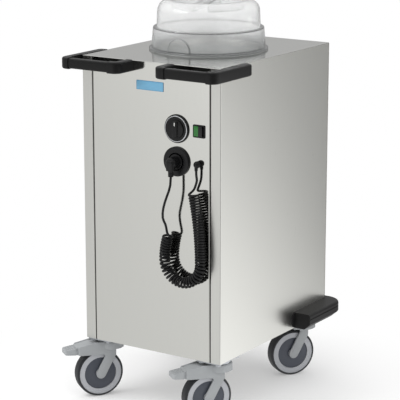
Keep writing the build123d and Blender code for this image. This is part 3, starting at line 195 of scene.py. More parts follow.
# ---------------------------------------------------------------- mains plug
# An angled plug moulded in one piece on the cord: a round face in the holder's well, a domed body and a
# ribbed sleeve that points down to the cord. Its two pins stay out of sight in the holder.
X, Y, Z = np.eye(3)


def outward(points, quads, caps):
    """Turns the faces of a closed shell over if the volume that they enclose comes out negative."""
    a, b, c, d = (points[quads[:, k]] for k in range(4))
    volume = np.einsum("ij,ij->", a, np.cross(b, c) + np.cross(c, d))
    for cap in caps:
        volume += np.einsum("ij,ij->", np.broadcast_to(points[cap[0]], (len(cap) - 2, 3)),
                            np.cross(points[cap[1:-1]], points[cap[2:]]))
    return (quads, caps) if volume > 0 else (quads[:, ::-1], [cap[::-1] for cap in caps])


def piece(name, body, slot, finish, *shells, crease=32):
    """Makes one object from shells in millimetres. A shell is rows of closed loops of points, one loop joined
    to the next by four-sided faces. Its two ends are closed flat, unless its last loop is its first again."""
    points, faces, count = [], [], 0
    for shell in shells:
        rows, columns = shell.shape[:2]
        index = np.arange(rows * columns).reshape(rows, columns)
        ring = np.allclose(shell[0], shell[-1])
        if ring:
            index[-1] = index[0]
        quads = np.stack([index[:-1], np.roll(index[:-1], -1, 1), np.roll(index[1:], -1, 1), index[1:]], -1)
        caps = [] if ring else [index[0, ::-1], index[-1]]
        quads, caps = outward(shell.reshape(-1, 3), quads.reshape(-1, 4), caps)
        points.append(shell.reshape(-1, 3))
        faces += (quads + count).tolist() + [(cap + count).tolist() for cap in caps]
        count += rows * columns
    mesh = bpy.data.meshes.new(name)
    mesh.from_pydata(np.concatenate(points) / 1000, [], faces)
    mesh.update()
    mesh.shade_smooth()
    mesh.set_sharp_from_angle(angle=math.radians(crease))
    mesh.materials.append(finish)
    made = bpy.data.objects.new(name, mesh)
    bpy.context.scene.collection.objects.link(made)
    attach(made, body)
    return made


def turned(profile, origin, axis, steps=72):
    """A profile of (radius, distance) carried round an axis:
    point = origin + axis distance + radius (side cos + up sin)."""
    radius, along = np.array(profile, float).T
    side = np.cross(axis, Z if abs(axis[2]) < 0.9 else X)
    side = side / np.linalg.norm(side)
    angle = 2 * math.pi * np.arange(steps)[:, None] / steps
    spoke = side * np.cos(angle) + np.cross(axis, side) * np.sin(angle)
    return np.asarray(origin) + along[:, None, None] * axis + radius[:, None, None] * spoke


def arc(centre, radius, start, end, steps=6):
    """Points on a circle between two angles in degrees: centre + radius (cos, sin)."""
    angle = np.radians(np.linspace(start, end, steps))[:, None]
    return np.asarray(centre) + radius * np.concatenate([np.cos(angle), np.sin(angle)], axis=1)


def rounded(corners, radii=0.0, insets=1.0, steps=7):
    """A closed outline with round corners, and the move that insets each point by one unit.
    A corner of radius r is centre + r n, where n swings from one side's normal to the next, and moves by -n.
    A sharp corner moves by m, where m.n = -inset on both its sides; inset 0 keeps a side where it is."""
    corners = np.array(corners, float)
    way = np.roll(corners, -1, 0) - corners
    area = np.sum(corners[:, 0] * np.roll(corners[:, 1], -1) - corners[:, 1] * np.roll(corners[:, 0], -1))
    normal = np.stack([way[:, 1], -way[:, 0]], -1) / np.linalg.norm(way, axis=1)[:, None] * np.sign(area)
    radii, insets = np.broadcast_to(radii, len(corners)), np.broadcast_to(insets, len(corners))
    before, inset_before = np.roll(normal, 1, 0), np.roll(insets, 1)
    overlap = np.sum(before * normal, axis=1)
    way_before = np.roll(way, 1, 0)
    bend = np.sign(way_before[:, 0] * way[:, 1] - way_before[:, 1] * way[:, 0]) * np.sign(area)
    mitre = ((overlap * insets - inset_before)[:, None] * before
             + (overlap * inset_before - insets)[:, None] * normal) / (1 - overlap**2)[:, None]
    centre = corners - (bend * radii / (1 + overlap))[:, None] * (before + normal)
    share, turn = np.linspace(0, 1, steps)[:, None], np.arccos(np.clip(overlap, -1, 1))
    swing = (np.sin((1 - share) * turn)[..., None] * before + np.sin(share * turn)[..., None] * normal)
    swing = (swing / np.sin(turn)[:, None]).transpose(1, 0, 2)
    points = centre[:, None] + (bend * radii)[:, None, None] * swing
    moves = np.where((radii > 0)[:, None, None], -swing * insets[:, None, None], mitre[:, None])
    keep = (radii > 0)[:, None] | (np.arange(steps) == 0)
    return points[keep], moves[keep]


def carried(outline, profile, origin, axes):
    """An outline carried along the third of three axes, and inset as it goes:
    point = origin + (outline + inset move) on the first two axes + height on the third."""
    (points, moves), (inset, height) = outline, np.array(profile, float).T
    flat = points + inset[:, None, None] * moves
    a, b, c = np.array(axes, float)
    return np.asarray(origin) + flat[..., :1] * a + flat[..., 1:] * b + height[:, None, None] * c


def edged(low, high, low_radius, high_radius=None, steps=4):
    """A carried piece's (inset, height) rows from low to high, with a quarter round at each end."""
    high_radius = low_radius if high_radius is None else high_radius
    angle = np.radians(np.linspace(0, 90, steps))
    first_end = np.stack([low_radius * (1 - np.sin(angle)), low + low_radius * (1 - np.cos(angle))], -1)
    last_end = np.stack([high_radius * (1 - np.cos(angle)), high - high_radius * (1 - np.sin(angle))], -1)
    return np.concatenate([first_end, last_end])


# Soft PVC moulding: black, a little glossier than the cord, with the faint grain of an eroded mould.
plug_plastic = mottled("moulded PVC plug", "#0F0F10", "#151516", 0.3, 1.0, 0.012, 1.52, 0.3)
plug_middle = np.array([PLUG_X, FRONT, 661.5])
sleeve_rows = np.concatenate([[(6.4, z), (7.0, z + 1.0), (7.0, z + 2.2), (6.2, z + 2.6)]
                              for z in (628.4, 632.0, 635.6)])
plug = piece(
    "angled_plug", "cart", "black_control_plastic", plug_plastic,
    turned(np.concatenate([[(18.9, -7.4), (19, 7.0)], arc((17.5, 7.0), 1.5, 0, 90)]), plug_middle, -Y),
    turned(np.concatenate([[(14.5, 7), (14, 12)], arc((7, 27), 7, 0, 90, 8)]), plug_middle, -Y),
    carried(rounded([(-11, 20), (11, 20), (11, 36), (-11, 36)], [7, 7, 4.8, 4.8]), edged(-19, 9, 2.0, 5.0),
            plug_middle, (X, -Y, Z)),
    turned(np.concatenate([[(5.0, 628.0), (5.6, 628.0)], sleeve_rows, [(6.8, 639), (8, 643.5)]]),
           (PLUG_X, FRONT - PLUG_OUT, 0), Z, 40),
)
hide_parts("mains_plug")

# ---------------------------------------------------------------- cord gland
# The cord enters through a black polyamide angle gland: a ball on the panel and a short sleeve that points
# down. It screws in from the front against a nut inside.
# Moulded polyamide: an even grain, and a soft gloss between that of the cord and of the plug.
gland_plastic = mottled("polyamide gland", "#0E0E0F", "#141415", 0.36, 1.4, 0.015, 1.53, 0.3)
gland_middle = np.array([GLAND_X, FRONT, 662.0])
gland = piece(
    "angle_gland", "cart", "black_control_plastic", gland_plastic,
    turned(np.concatenate([[(5, 0)], arc((0.4, 8.6), 8.3, -55, 90, 14)]), gland_middle, -Y),
    turned([(3.4, 647), (3.9, 647.4), (4.3, 653), (4.3, 660)], (GLAND_X, FRONT - GLAND_OUT, 0), Z, 40),
    turned([(8, -14), (8, 0)], gland_middle, -Y, 40),
    turned([(12, -6), (12, -1.5)], gland_middle, -Y, 6),
)
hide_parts("cord_gland")

# ================================================================ floor and light
# A pale studio: a white floor that keeps the cart's shadow near it, a white backdrop, a large soft lamp high
# on the left with a weaker one low on the right, and a soft glow that is strongest overhead.

# Matt white floor: it shades near the cart and turns to plain white by 0.72 m out. Polished steel sees it as
# soft gradients, as if the studio's panels stood round it. On x and y in metres, the steel mirrors a glow of
# 0.788 + 1.41 x - 1.05 y beside the cart, at least 0.65 behind it, and 0.75 + 0.145 x - 0.12 y before it. The
# front right quarter is dim, down to 0.3 of that.
floor_paint = bpy.data.materials.new("matt white floor")
floor_paint.use_nodes = True
tree = floor_paint.node_tree
tree.nodes.clear()
on_floor = node(tree, "TexCoord").outputs["Object"]
place = node(tree, "SeparateXYZ", {"Vector": on_floor}).outputs
diffuse = node(tree, "BsdfDiffuse", {"Color": linear("#FBFBFB")})
away = node(tree, "VectorMath", {0: on_floor}, operation="LENGTH")
white_from = node(tree, "MapRange", {"Value": away.outputs["Value"], "From Min": 0.28, "From Max": 0.72,
                                     "To Min": 0.25}, interpolation_type="SMOOTHSTEP")
plain_white = node(tree, "Emission", {"Color": (1, 1, 1, 1), "Strength": 1.0})
seen = node(tree, "MixShader", {0: white_from.outputs["Result"], 1: diffuse.outputs[0],
                                2: plain_white.outputs[0]})
beside_x = node(tree, "Math", {0: place["X"], 1: 1.41, 2: 0.788}, operation="MULTIPLY_ADD")
beside = node(tree, "Math", {0: place["Y"], 1: -1.05, 2: beside_x.outputs[0]}, operation="MULTIPLY_ADD")
before_x = node(tree, "Math", {0: place["X"], 1: 0.145, 2: 0.75}, operation="MULTIPLY_ADD")
before = node(tree, "Math", {0: place["Y"], 1: -0.12, 2: before_x.outputs[0]}, operation="MULTIPLY_ADD")
corner_way = node(tree, "Math", {0: place["X"], 1: place["Y"]}, operation="ADD")
rearward = node(tree, "MapRange", {"Value": corner_way.outputs[0], "From Min": -0.06, "From Max": -0.02})
soft_before = node(tree, "Clamp", {"Value": before.outputs[0], "Min": 0.6, "Max": 1.25})
side_panel = node(tree, "Clamp", {"Value": beside.outputs[0], "Min": 0.2, "Max": 1.25})
behind = node(tree, "MapRange", {"Value": place["X"], "From Min": 0.25, "From Max": 0.45, "To Min": 0.65,
                                 "To Max": 0.0})
soft_beside = node(tree, "Math", {0: side_panel.outputs[0], 1: behind.outputs["Result"]}, operation="MAXIMUM")
glow = node(tree, "Mix", {0: rearward.outputs["Result"], 2: soft_before.outputs[0],
                          3: soft_beside.outputs[0]})
dim_x = node(tree, "MapRange", {"Value": place["X"], "From Min": 0.0, "From Max": 0.9})
dim_y = node(tree, "MapRange", {"Value": place["Y"], "From Min": -0.1, "From Max": -0.7})
dim = node(tree, "Math", {0: dim_x.outputs["Result"], 1: dim_y.outputs["Result"]}, operation="MULTIPLY")
kept = node(tree, "Math", {0: dim.outputs[0], 1: -0.7, 2: 1.0}, operation="MULTIPLY_ADD")
glow_left = node(tree, "Math", {0: glow.outputs[0], 1: kept.outputs[0]}, operation="MULTIPLY")
mirrored = node(tree, "Emission", {"Color": (1, 1, 1, 1), "Strength": glow_left.outputs[0]})
ray = node(tree, "LightPath").outputs
straight = node(tree, "Math", {0: ray["Is Camera Ray"], 1: ray["Is Transmission Ray"]}, operation="MAXIMUM")
lit = node(tree, "MixShader", {0: ray["Is Glossy Ray"], 1: diffuse.outputs[0], 2: mirrored.outputs[0]})
shown = node(tree, "MixShader", {0: straight.outputs[0], 1: lit.outputs[0], 2: seen.outputs[0]})
node(tree, "OutputMaterial", {"Surface": shown.outputs[0]})

floor_mesh = bpy.data.meshes.new("floor")
HALF_FLOOR = 12
floor_corners = [(x * HALF_FLOOR, y * HALF_FLOOR, 0) for x, y in ((-1, -1), (1, -1), (1, 1), (-1, 1))]
floor_mesh.from_pydata(floor_corners, [], [(0, 1, 2, 3)])
floor_mesh.materials.append(floor_paint)
floor = bpy.data.objects.new("floor", floor_mesh)
bpy.context.scene.collection.objects.link(floor)

# The backdrop is the world: white to the eye and through the lid. Polished things see a glow that rises from
# the horizon and is dim towards the studio's unlit front right; all else is lit more from overhead than from
# the horizon.
UNLIT_SIDE = (0.534, -0.812, 0.235)
world = bpy.data.worlds.new("backdrop")
world.use_nodes = True
bpy.context.scene.world = world
tree = world.node_tree
tree.nodes.clear()
sky_way = node(tree, "TexCoord").outputs["Generated"]
up = node(tree, "SeparateXYZ", {"Vector": sky_way}).outputs["Z"]
rise = node(tree, "MapRange", {"Value": up, "From Min": 0.0, "From Max": 0.9, "To Min": 0.38, "To Max": 1.1})
unlit = node(tree, "VectorMath", {0: sky_way, 1: UNLIT_SIDE}, operation="DOT_PRODUCT")
dimmed = node(tree, "MapRange", {"Value": unlit.outputs["Value"], "From Min": 0.35, "From Max": 0.9,
                                 "To Min": 1.0, "To Max": 0.38}, interpolation_type="SMOOTHSTEP")
rising = node(tree, "Math", {0: rise.outputs["Result"], 1: dimmed.outputs["Result"]}, operation="MULTIPLY")
overhead = node(tree, "MapRange", {"Value": up, "To Min": 0.3, "To Max": 1.3})
level = node(tree, "Background", {"Color": (1, 1, 1, 1), "Strength": overhead.outputs["Result"]})
polished = node(tree, "Background", {"Color": (1, 1, 1, 1), "Strength": rising.outputs[0]})
white = node(tree, "Background", {"Color": (1, 1, 1, 1), "Strength": 1.0})
ray = node(tree, "LightPath").outputs
straight = node(tree, "Math", {0: ray["Is Camera Ray"], 1: ray["Is Transmission Ray"]}, operation="MAXIMUM")
lit = node(tree, "MixShader", {0: ray["Is Glossy Ray"], 1: level.outputs[0], 2: polished.outputs[0]})
shown = node(tree, "MixShader", {0: straight.outputs[0], 1: lit.outputs[0], 2: white.outputs[0]})
node(tree, "OutputWorld", {"Surface": shown.outputs[0]})

# Two soft lamps, aimed at the cart's middle. Gloss doesn't show them, so no bright square stands in steel.
AIM = Vector((0, 0, 0.5))
lamps = (("high left", (-1.9, -2.3, 3.0), 2.4, 62.0), ("low right", (2.6, -1.0, 1.6), 1.8, 14.0))
for name, place, size, power in lamps:
    lamp_data = bpy.data.lights.new(name, "AREA")
    lamp_data.size, lamp_data.energy = size, power
    lamp = bpy.data.objects.new(name, lamp_data)
    bpy.context.scene.collection.objects.link(lamp)
    lamp.visible_glossy = False
    lamp.location = place
    lamp.rotation_mode = "QUATERNION"
    lamp.rotation_quaternion = (Vector(place) - AIM).to_track_quat("Z", "Y")

# ================================================================ casing
# The casing is folded from 1.5 mm chrome-nickel sheet steel, ground with a fine vertical grain and left
# bright, so it mirrors the floor, the handles and the cord. The front panel hangs between two open seams.
GRAIN_STRETCH = 50


def sheet_steel(name, colour, roughness, grain_axis, grain_mm, streak=0.06, relief=0.003):
    """Ground sheet steel: noise drawn out fifty times along one axis gives the grain, in tone, gloss and
    relief. Real grain is under 0.1 mm wide, so it is drawn about ten times as coarse to show at all."""
    made, tree, shader, place = bare_material(name, colour, roughness, metallic=1.0)
    fine = [1000 / grain_mm] * 3
    fine[grain_axis] /= GRAIN_STRETCH
    drawn_out = node(tree, "Mapping", {"Vector": place, "Scale": fine})
    grain = node(tree, "TexNoise", {"Vector": drawn_out.outputs["Vector"], "Scale": 1.0, "Detail": 3.0})
    dark = tuple(v * (1 - streak) for v in linear(colour)[:3]) + (1.0,)
    tone = node(tree, "MixRGB", {"Fac": grain.outputs["Fac"], "Color1": dark, "Color2": linear(colour)})
    tree.links.new(tone.outputs["Color"], shader.inputs["Base Color"])
    rough = node(tree, "MapRange", {"Value": grain.outputs["Fac"], "To Min": roughness - GLOSS_DRIFT,
                                    "To Max": roughness + GLOSS_DRIFT})
    tree.links.new(rough.outputs["Result"], shader.inputs["Roughness"])
    dent = node(tree, "Bump", {"Height": grain.outputs["Fac"], "Distance": relief / 1000, "Strength": 1.0})
    tree.links.new(dent.outputs["Normal"], shader.inputs["Normal"])
    return made


def dress(finish, *names):
    """Gives CAD nodes a finish in place of their plain one."""
    for name in names:
        for slot in cad[name].material_slots:
            slot.material = finish


# The sides are ground and blur what they mirror, and the front panel is polished until it mirrors the cord.
# The deck is between the two, with its grain from front to back. Hidden sheet keeps its mill finish.
casing_steel = sheet_steel("ground stainless sheet", "#E0E0DB", 0.3, 2, 0.9)
front_steel = sheet_steel("polished stainless front", "#DDDDD8", 0.08, 2, 0.9)
deck_steel = sheet_steel("ground stainless deck", "#D9D9D5", 0.14, 1, 0.9)
inner_steel = sheet_steel("mill-finish stainless", "#C9C9C6", 0.32, 2, 1.6)
dress(casing_steel, "left_side_panel", "right_side_panel", "rear_panel")
dress(front_steel, "front_panel")
dress(deck_steel, "deck")
dress(inner_steel, "base_tray", "electrical_box", "lift_top_ring")

# The rear panel's round-headed screws and the castors' bolts are zinc-plated steel: a pale blue-grey with a
# cloudy, slightly uneven gloss.
zinc_steel, tree, shader, place = bare_material("zinc-plated steel", "#B9BCC0", 0.3, metallic=1.0)
cloud = node(tree, "TexNoise", {"Vector": place, "Scale": 1 / 0.006, "Detail": 4.0})
tone = node(tree, "MixRGB", {"Fac": cloud.outputs["Fac"], "Color1": linear("#A4A7AB"),
                             "Color2": linear("#C6C9CD")})
tree.links.new(tone.outputs["Color"], shader.inputs["Base Color"])
rough = node(tree, "MapRange", {"Value": cloud.outputs["Fac"], "To Min": 0.22, "To Max": 0.4})
tree.links.new(rough.outputs["Result"], shader.inputs["Roughness"])
dress(zinc_steel, "panel_screws", "castor_bolts", "castor_plates",
      *(f"castor_{end}_{hand}_axle" for end in ("front", "rear") for hand in ("left", "right")))

# ================================================================ plate lift
# The tube is drawn stainless with a turned-over rim on the deck. In it a pressed platform rides on a welded
# carriage with three rods, and three extension springs pull it up.
# Drawing leaves fine lines up the tube's wall, glossier than the sheet that is left as it came from the mill.
tube_steel = sheet_steel("drawn stainless tube", "#D4D4D1", 0.22, 2, 1.2)
dress(tube_steel, "dispensing_tube", "plate_platform")
dress(inner_steel, "lift_carriage", "guide_rods")


def wound_steel(name, colour, pitch_mm):
    """Wire wound on itself: a band of light and dark for each turn up the spring's height."""
    made, tree, shader, place = bare_material(name, colour, 0.3, metallic=1.0)
    height = node(tree, "SeparateXYZ", {"Vector": place}).outputs["Z"]
    wave = node(tree, "Math", {0: height, 1: 2 * math.pi * 1000 / pitch_mm}, operation="MULTIPLY")
    turn = node(tree, "Math", {0: wave.outputs[0]}, operation="SINE")
    dent = node(tree, "Bump", {"Height": turn.outputs[0], "Distance": 0.0004, "Strength": 1.0})
    tree.links.new(dent.outputs["Normal"], shader.inputs["Normal"])
    return made


dress(wound_steel("spring wire", "#9B9C9E", 1.6), "lift_springs")

# ================================================================ heating and thermostat
# The heating element is a sheathed steel tube on the base tray, browned in patches by its own heat. The
# thermostat sits in a moulded phenolic case behind its knob.
heater_steel, tree, shader, place = bare_material("heat-browned element sheath", "#8A7F74", 0.4, metallic=1.0)
bloom = node(tree, "TexNoise", {"Vector": place, "Scale": 1 / 0.03, "Detail": 3.0})
tone = node(tree, "MixRGB", {"Fac": bloom.outputs["Fac"], "Color1": linear("#6F655C"),
                             "Color2": linear("#9C8F80")})
tree.links.new(tone.outputs["Color"], shader.inputs["Base Color"])
dress(heater_steel, "heating_element")
dress(mottled("phenolic thermostat case", "#3A2E28", "#463A33", 0.5, 1.5, 0.02, 1.6), "thermostat")

# ================================================================ controls on the front panel
# The heat control: a black scale disc on the panel, and before it a black turning knob with a broad grip
# ridge and a thin bright ring round its skirt. Both are moulded thermoset, polished by the mould.
knob_plastic = mottled("moulded knob thermoset", "#0C0C0D", "#121213", 0.27, 1.6, 0.01, 1.55, 0.25)
scale_plastic = mottled("printed scale disc", "#0B0B0C", "#111112", 0.36, 1.2, 0.01, 1.52, 0.3)
CONTROL_Z, DISC, SKIRT, BORE = 743.0, 35.6, 30.6, 4.2
knob_middle = np.array([PLUG_X, FRONT, CONTROL_Z])
scale_disc = piece(
    "heat_scale", "cart", "black_control_plastic", scale_plastic,
    turned(np.concatenate([[(BORE, 0), (DISC, 0), (DISC, 2)], arc((DISC - 1, 2), 1, 0, 90, 4),
                           [(BORE, 3), (BORE, 0)]]),
           knob_middle, -Y, 96),
)
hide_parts("knob_scale")
grip_outline = rounded([(-8.5, -21), (8.5, -21), (8.5, 21), (-8.5, 21)], [4.2] * 4)
knob = piece(
    "heat_knob", "knob", "black_control_plastic", knob_plastic,
    turned([(SKIRT, 3.5), (SKIRT, 5.7), (SKIRT - 0.3, 6)], knob_middle, -Y, 96),
    turned(np.concatenate([[(23, 5.5), (23, 8.1)], arc((22.1, 8.1), 0.9, 0, 90, 4)]), knob_middle, -Y, 96),
    carried(grip_outline, edged(5.5, 12.5, 0.2, 4.2, steps=7), knob_middle, (X, Z, -Y)),
    turned([(3, -15), (3, 4)], knob_middle, -Y, 32),
)
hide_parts("control_knob")
# A white pointer line is inlaid at the top of the ridge, matt beside the polished knob.
white_ink = mottled("white inlay", "#E4E4E0", "#EDEDEA", 0.5, 0.8, 0.005, 1.5)
piece(
    "knob_pointer", "knob", "black_control_plastic", white_ink,
    carried(rounded([(-0.9, 8), (0.9, 8), (0.9, 16.6), (-0.9, 16.6)], [0.6] * 4), edged(12.1, 12.55, 0.15),
            knob_middle, (X, Z, -Y)),
)
# Bright ring: chrome-plated brass pressed round the skirt, mirror-smooth with hairline handling marks.
bright_ring, tree, shader, place = bare_material("chrome-plated ring", "#D8DADC", 0.08, metallic=1.0)
hair = node(tree, "TexNoise", {"Vector": place, "Scale": 1 / 0.002, "Detail": 2.0})
rough = node(tree, "MapRange", {"Value": hair.outputs["Fac"], "To Min": 0.06, "To Max": 0.16})
tree.links.new(rough.outputs["Result"], shader.inputs["Roughness"])
ring = piece(
    "knob_bright_ring", "knob", "bright_ring", bright_ring,
    turned(np.concatenate([[(SKIRT, 3.5), (SKIRT + 2, 3.5), (SKIRT + 2, 4.8)],
                           arc((SKIRT + 0.8, 4.8), 1.2, 0, 90, 5), [(SKIRT, 6), (SKIRT, 3.5)]]),
           knob_middle, -Y, 96),
)
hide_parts("knob_trim_ring")

# ---------------------------------------------------------------- rocker switch
# The mains switch: a black polyamide frame clipped in the panel, and a rocker that tilts sideways. Its left
# half is a green lens over a lamp, and its right half is black.
switch_middle = np.array([144.0, FRONT, CONTROL_Z])
housing = piece(
    "switch_frame", "cart", "black_control_plastic", gland_plastic,
    carried(rounded([(-17.5, -16), (17.5, -16), (17.5, 16), (-17.5, 16)], [3] * 4),
            [(0, 0), (0, 1.5), (0.4, 2.2), (1.2, 2.5), (3.0, 2.5), (3.0, -8), (3.0, -11.0), (2.0, -11.0),
             (2.0, -0.4), (0, 0)], switch_middle, (X, Z, -Y)),
    carried(rounded([(-15.5, -14), (15.5, -14), (15.5, 14), (-15.5, 14)], [1] * 4), edged(-26, -11, 0.5),
            switch_middle, (X, Z, -Y)),
)
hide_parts("switch_housing")
tilt = math.radians(-7)
rocker_x = np.array([math.cos(tilt), math.sin(tilt), 0])
rocker_y = np.array([-math.sin(tilt), math.cos(tilt), 0])
rocker_middle = switch_middle + 4 * Y
# The green half is dyed clear acrylic, deep green and glossy. The black half is the same, dyed black.
green_lens = mottled("green acrylic lens", "#1B5A26", "#2F7431", 0.16, 3.0, 0.01, 1.49)
black_lens = mottled("black acrylic rocker", "#0B0B0C", "#111112", 0.2, 3.0, 0.01, 1.49)


def rocker_half(hand):
    """Half of the rocker: an outline of (x, depth) whose face slopes in from its outer edge, carried up."""
    outline = [(0, 8.0), (hand * 13, 9.5), (hand * 13, 2), (hand * 4.5, -4), (0, -4)]
    return carried(rounded(outline, [0, 0.8, 0.8, 0.6, 0], [1, 1, 1, 1, 0]), edged(-12.5, 12.5, 0.8),
                   rocker_middle, (rocker_x, -rocker_y, Z))


rocker_green = piece("rocker_green_half", "rocker", "rocker_green", green_lens, rocker_half(-1))
rocker_black = piece("rocker_black_half", "rocker", "black_control_plastic", black_lens, rocker_half(1))
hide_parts("switch_rocker")
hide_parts("switch_rocker")

# ---------------------------------------------------------------- plug holder and name plate
# The plug is parked in a blind holder: a thick round flange with a well, in polyamide like the gland. It sits
# in a hole of the front panel below the knob.
holder = piece(
    "parking_holder", "cart", "black_control_plastic", gland_plastic,
    turned(np.concatenate([[(26, 0), (37, 0), (37, 4.2)], arc((34.7, 4.2), 2.3, 0, 90), [(23, 6.5)],
                           arc((23, 5.5), 1, 90, 180, 4), [(22, -7.5), (26, -7.5), (26, 0)]]),
           plug_middle, -Y, 96),
    turned([(26, -30), (26, -7.5)], plug_middle, -Y),
)
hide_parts("plug_holder")

# The name plate is a thin anodised strip, left blank: a pale blue field, faintly brushed along its length,
# with a narrow darker border.
PLATE_Z, PLATE_SIDE, PLATE_RISE, BORDER = 841, 40, 11.5, 1.0
plate_blue, tree, shader, place = bare_material("anodised blue plate", "#7FB4D2", 0.3)
centred = node(tree, "Mapping", {"Vector": place, "Location": (0.0, 0.0, -PLATE_Z / 1000)})
off_centre = node(tree, "SeparateXYZ", {"Vector": centred.outputs["Vector"]}).outputs
border = []
for name, half in (("X", PLATE_SIDE), ("Z", PLATE_RISE)):
    away = node(tree, "Math", {0: off_centre[name]}, operation="ABSOLUTE")
    far = node(tree, "Math", {0: away.outputs[0], 1: (half - BORDER) / 1000}, operation="GREATER_THAN")
    border.append(far.outputs[0])
on_border = node(tree, "Math", {0: border[0], 1: border[1]}, operation="MAXIMUM")
drawn_out = node(tree, "Mapping", {"Vector": place, "Scale": (30, 30, 1400)})
brushed = node(tree, "TexNoise", {"Vector": drawn_out.outputs["Vector"], "Scale": 1.0})
field = node(tree, "MixRGB", {"Fac": brushed.outputs["Fac"], "Color1": linear("#5F9ABB"),
                              "Color2": linear("#77AECD")})
tone = node(tree, "MixRGB", {"Fac": on_border.outputs[0], "Color1": field.outputs["Color"],
                             "Color2": linear("#2A7AA8")})
tree.links.new(tone.outputs["Color"], shader.inputs["Base Color"])
name_plate = piece(
    "blank_name_plate", "cart", "badge_blue", plate_blue,
    carried(rounded([(-PLATE_SIDE, -PLATE_RISE), (PLATE_SIDE, -PLATE_RISE), (PLATE_SIDE, PLATE_RISE),
                     (-PLATE_SIDE, PLATE_RISE)], [1.2] * 4), edged(0, 1.2, 0.15, 0.3),
            (0, FRONT, PLATE_Z), (X, Z, -Y)),
)
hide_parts("badge_plate")

# ================================================================ push handles
# Two black handles screwed to the front top corners. Each is a grip bar between an inner elbow and a corner
# piece whose arm runs back along the side panel. All are glass-filled polyamide, whose fine moulded grain
# softens each highlight.
handle_plastic = mottled("grained polyamide handle", "#0E0E0E", "#151515", 0.4, 1.3, 0.03, 1.53, 0.25)
CASING_SIDE, HANDLE_FRONT, HANDLE_BACK = 206.0, FRONT - 65, FRONT - 43
HANDLE_LOW, HANDLE_HIGH, ELBOW_SIDE, CORNER_SIDE = 872.0, 901.0, 84.0, 203.0


def handle(hand, name):
    """Elbow and corner piece as plan outlines carried up, and the grip bar as a section carried sideways.
    The bar is a little slimmer than the two pieces that hold it."""
    side = np.array([hand, 0, 0])
    elbow = rounded([(51, HANDLE_FRONT), (ELBOW_SIDE, HANDLE_FRONT), (ELBOW_SIDE, HANDLE_BACK),
                     (73, HANDLE_BACK), (73, FRONT), (51, FRONT)], [22, 0, 0, 2, 0, 0], [1, 0, 1, 1, 0, 1])
    corner = rounded([(CORNER_SIDE, HANDLE_FRONT), (231, HANDLE_FRONT), (231, FRONT + 109),
                      (CASING_SIDE, FRONT + 109), (CASING_SIDE, FRONT), (209, FRONT), (209, HANDLE_BACK),
                      (CORNER_SIDE, HANDLE_BACK)],
                     [0, 22, 15, 0, 0, 0, 0, 0], [1, 1, 1, 0, 0, 0, 0, 0], steps=12)
    rows = edged(HANDLE_LOW, HANDLE_HIGH, 5, steps=6)
    ends = piece(f"{name}_handle_arms", "cart", "black_handle_plastic", handle_plastic,
                 *(carried(outline, rows, (0, 0, 0), (side, Y, Z)) for outline in (elbow, corner)))
    low, high = HANDLE_LOW + 2, HANDLE_HIGH - 1.5
    section = rounded([(HANDLE_FRONT + 1.5, low), (HANDLE_BACK - 1.5, low), (HANDLE_BACK - 1.5, high),
                       (HANDLE_FRONT + 1.5, high)], [5] * 4)
    grip = piece(f"{name}_handle_bar", "cart", "black_handle_plastic", handle_plastic,
                 carried(section, edged(ELBOW_SIDE, CORNER_SIDE, 0.4), (0, 0, 0), (Y, Z, side)))
    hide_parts(f"{name}_handle_ends")
    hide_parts(f"{name}_handle_grip")


handle(1, "right")
handle(-1, "left")

# ================================================================ rear bumpers
# Two black rubber-like bumpers round the rear bottom corners, pushed on steel brackets. A groove runs round
# them near the top, and their underside is chamfered. The brackets are powder-coated black.
dress(mottled("black powder coat", "#141415", "#1C1C1D", 0.5, 0.9, 0.03, 1.5, 0.4), "bumper_brackets")
# The elastomer has a coarser grain and softer highlights than the handles.
bumper_plastic = mottled("moulded bumper elastomer", "#101010", "#181818", 0.45, 1.6, 0.03, 1.52, 0.25)
REAR, BUMPER_OUT, BUMPER_BACK, BUMPER_TOP, TOP_ROUND = 285.0, 50.0, 20.0, 205.0, 7.0


def bumper(hand, name):
    """A plan outline carried up: chamfer below, a groove near the top, and a round above."""
    out, back_edge, front_edge, inner = CASING_SIDE + BUMPER_OUT, REAR + BUMPER_BACK, REAR - 167.5, 136
    outline = rounded([(CASING_SIDE, front_edge), (out, front_edge), (out, back_edge), (inner, back_edge),
                       (inner, REAR), (CASING_SIDE, REAR)],
                      [0, 0, 45, 12, 0, 0], [0, 1, 1, 1, 0, 0], steps=14)
    chamfer = [(17, 163), (1.2, 176.6), (0, 178.5)]
    groove = [(0, 190.2), (0.3, 190.5), (2, 190.9), (2, 193.1), (0.3, 193.5), (0, 193.8)]
    rows = chamfer + groove + [(TOP_ROUND * (1 - math.cos(a)), BUMPER_TOP - TOP_ROUND * (1 - math.sin(a)))
                               for a in np.radians(np.linspace(0, 90, 8))]
    made = piece(f"{name}_corner_bumper", "cart", "black_bumper_plastic", bumper_plastic,
                 carried(outline, rows, (0, 0, 0), (np.array([hand, 0, 0]), Y, Z)))
    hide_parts(f"{name}_rear_bumper")


bumper(1, "right")
bumper(-1, "left")

# ================================================================ castors
# Four plate castors with 125 mm wheels, all turned the same way. The fork is moulded in grey polyamide and
# the front two have a brake pedal of the same grey. The wheel is a grey rim with dark cover discs and a
# black solid rubber tyre.

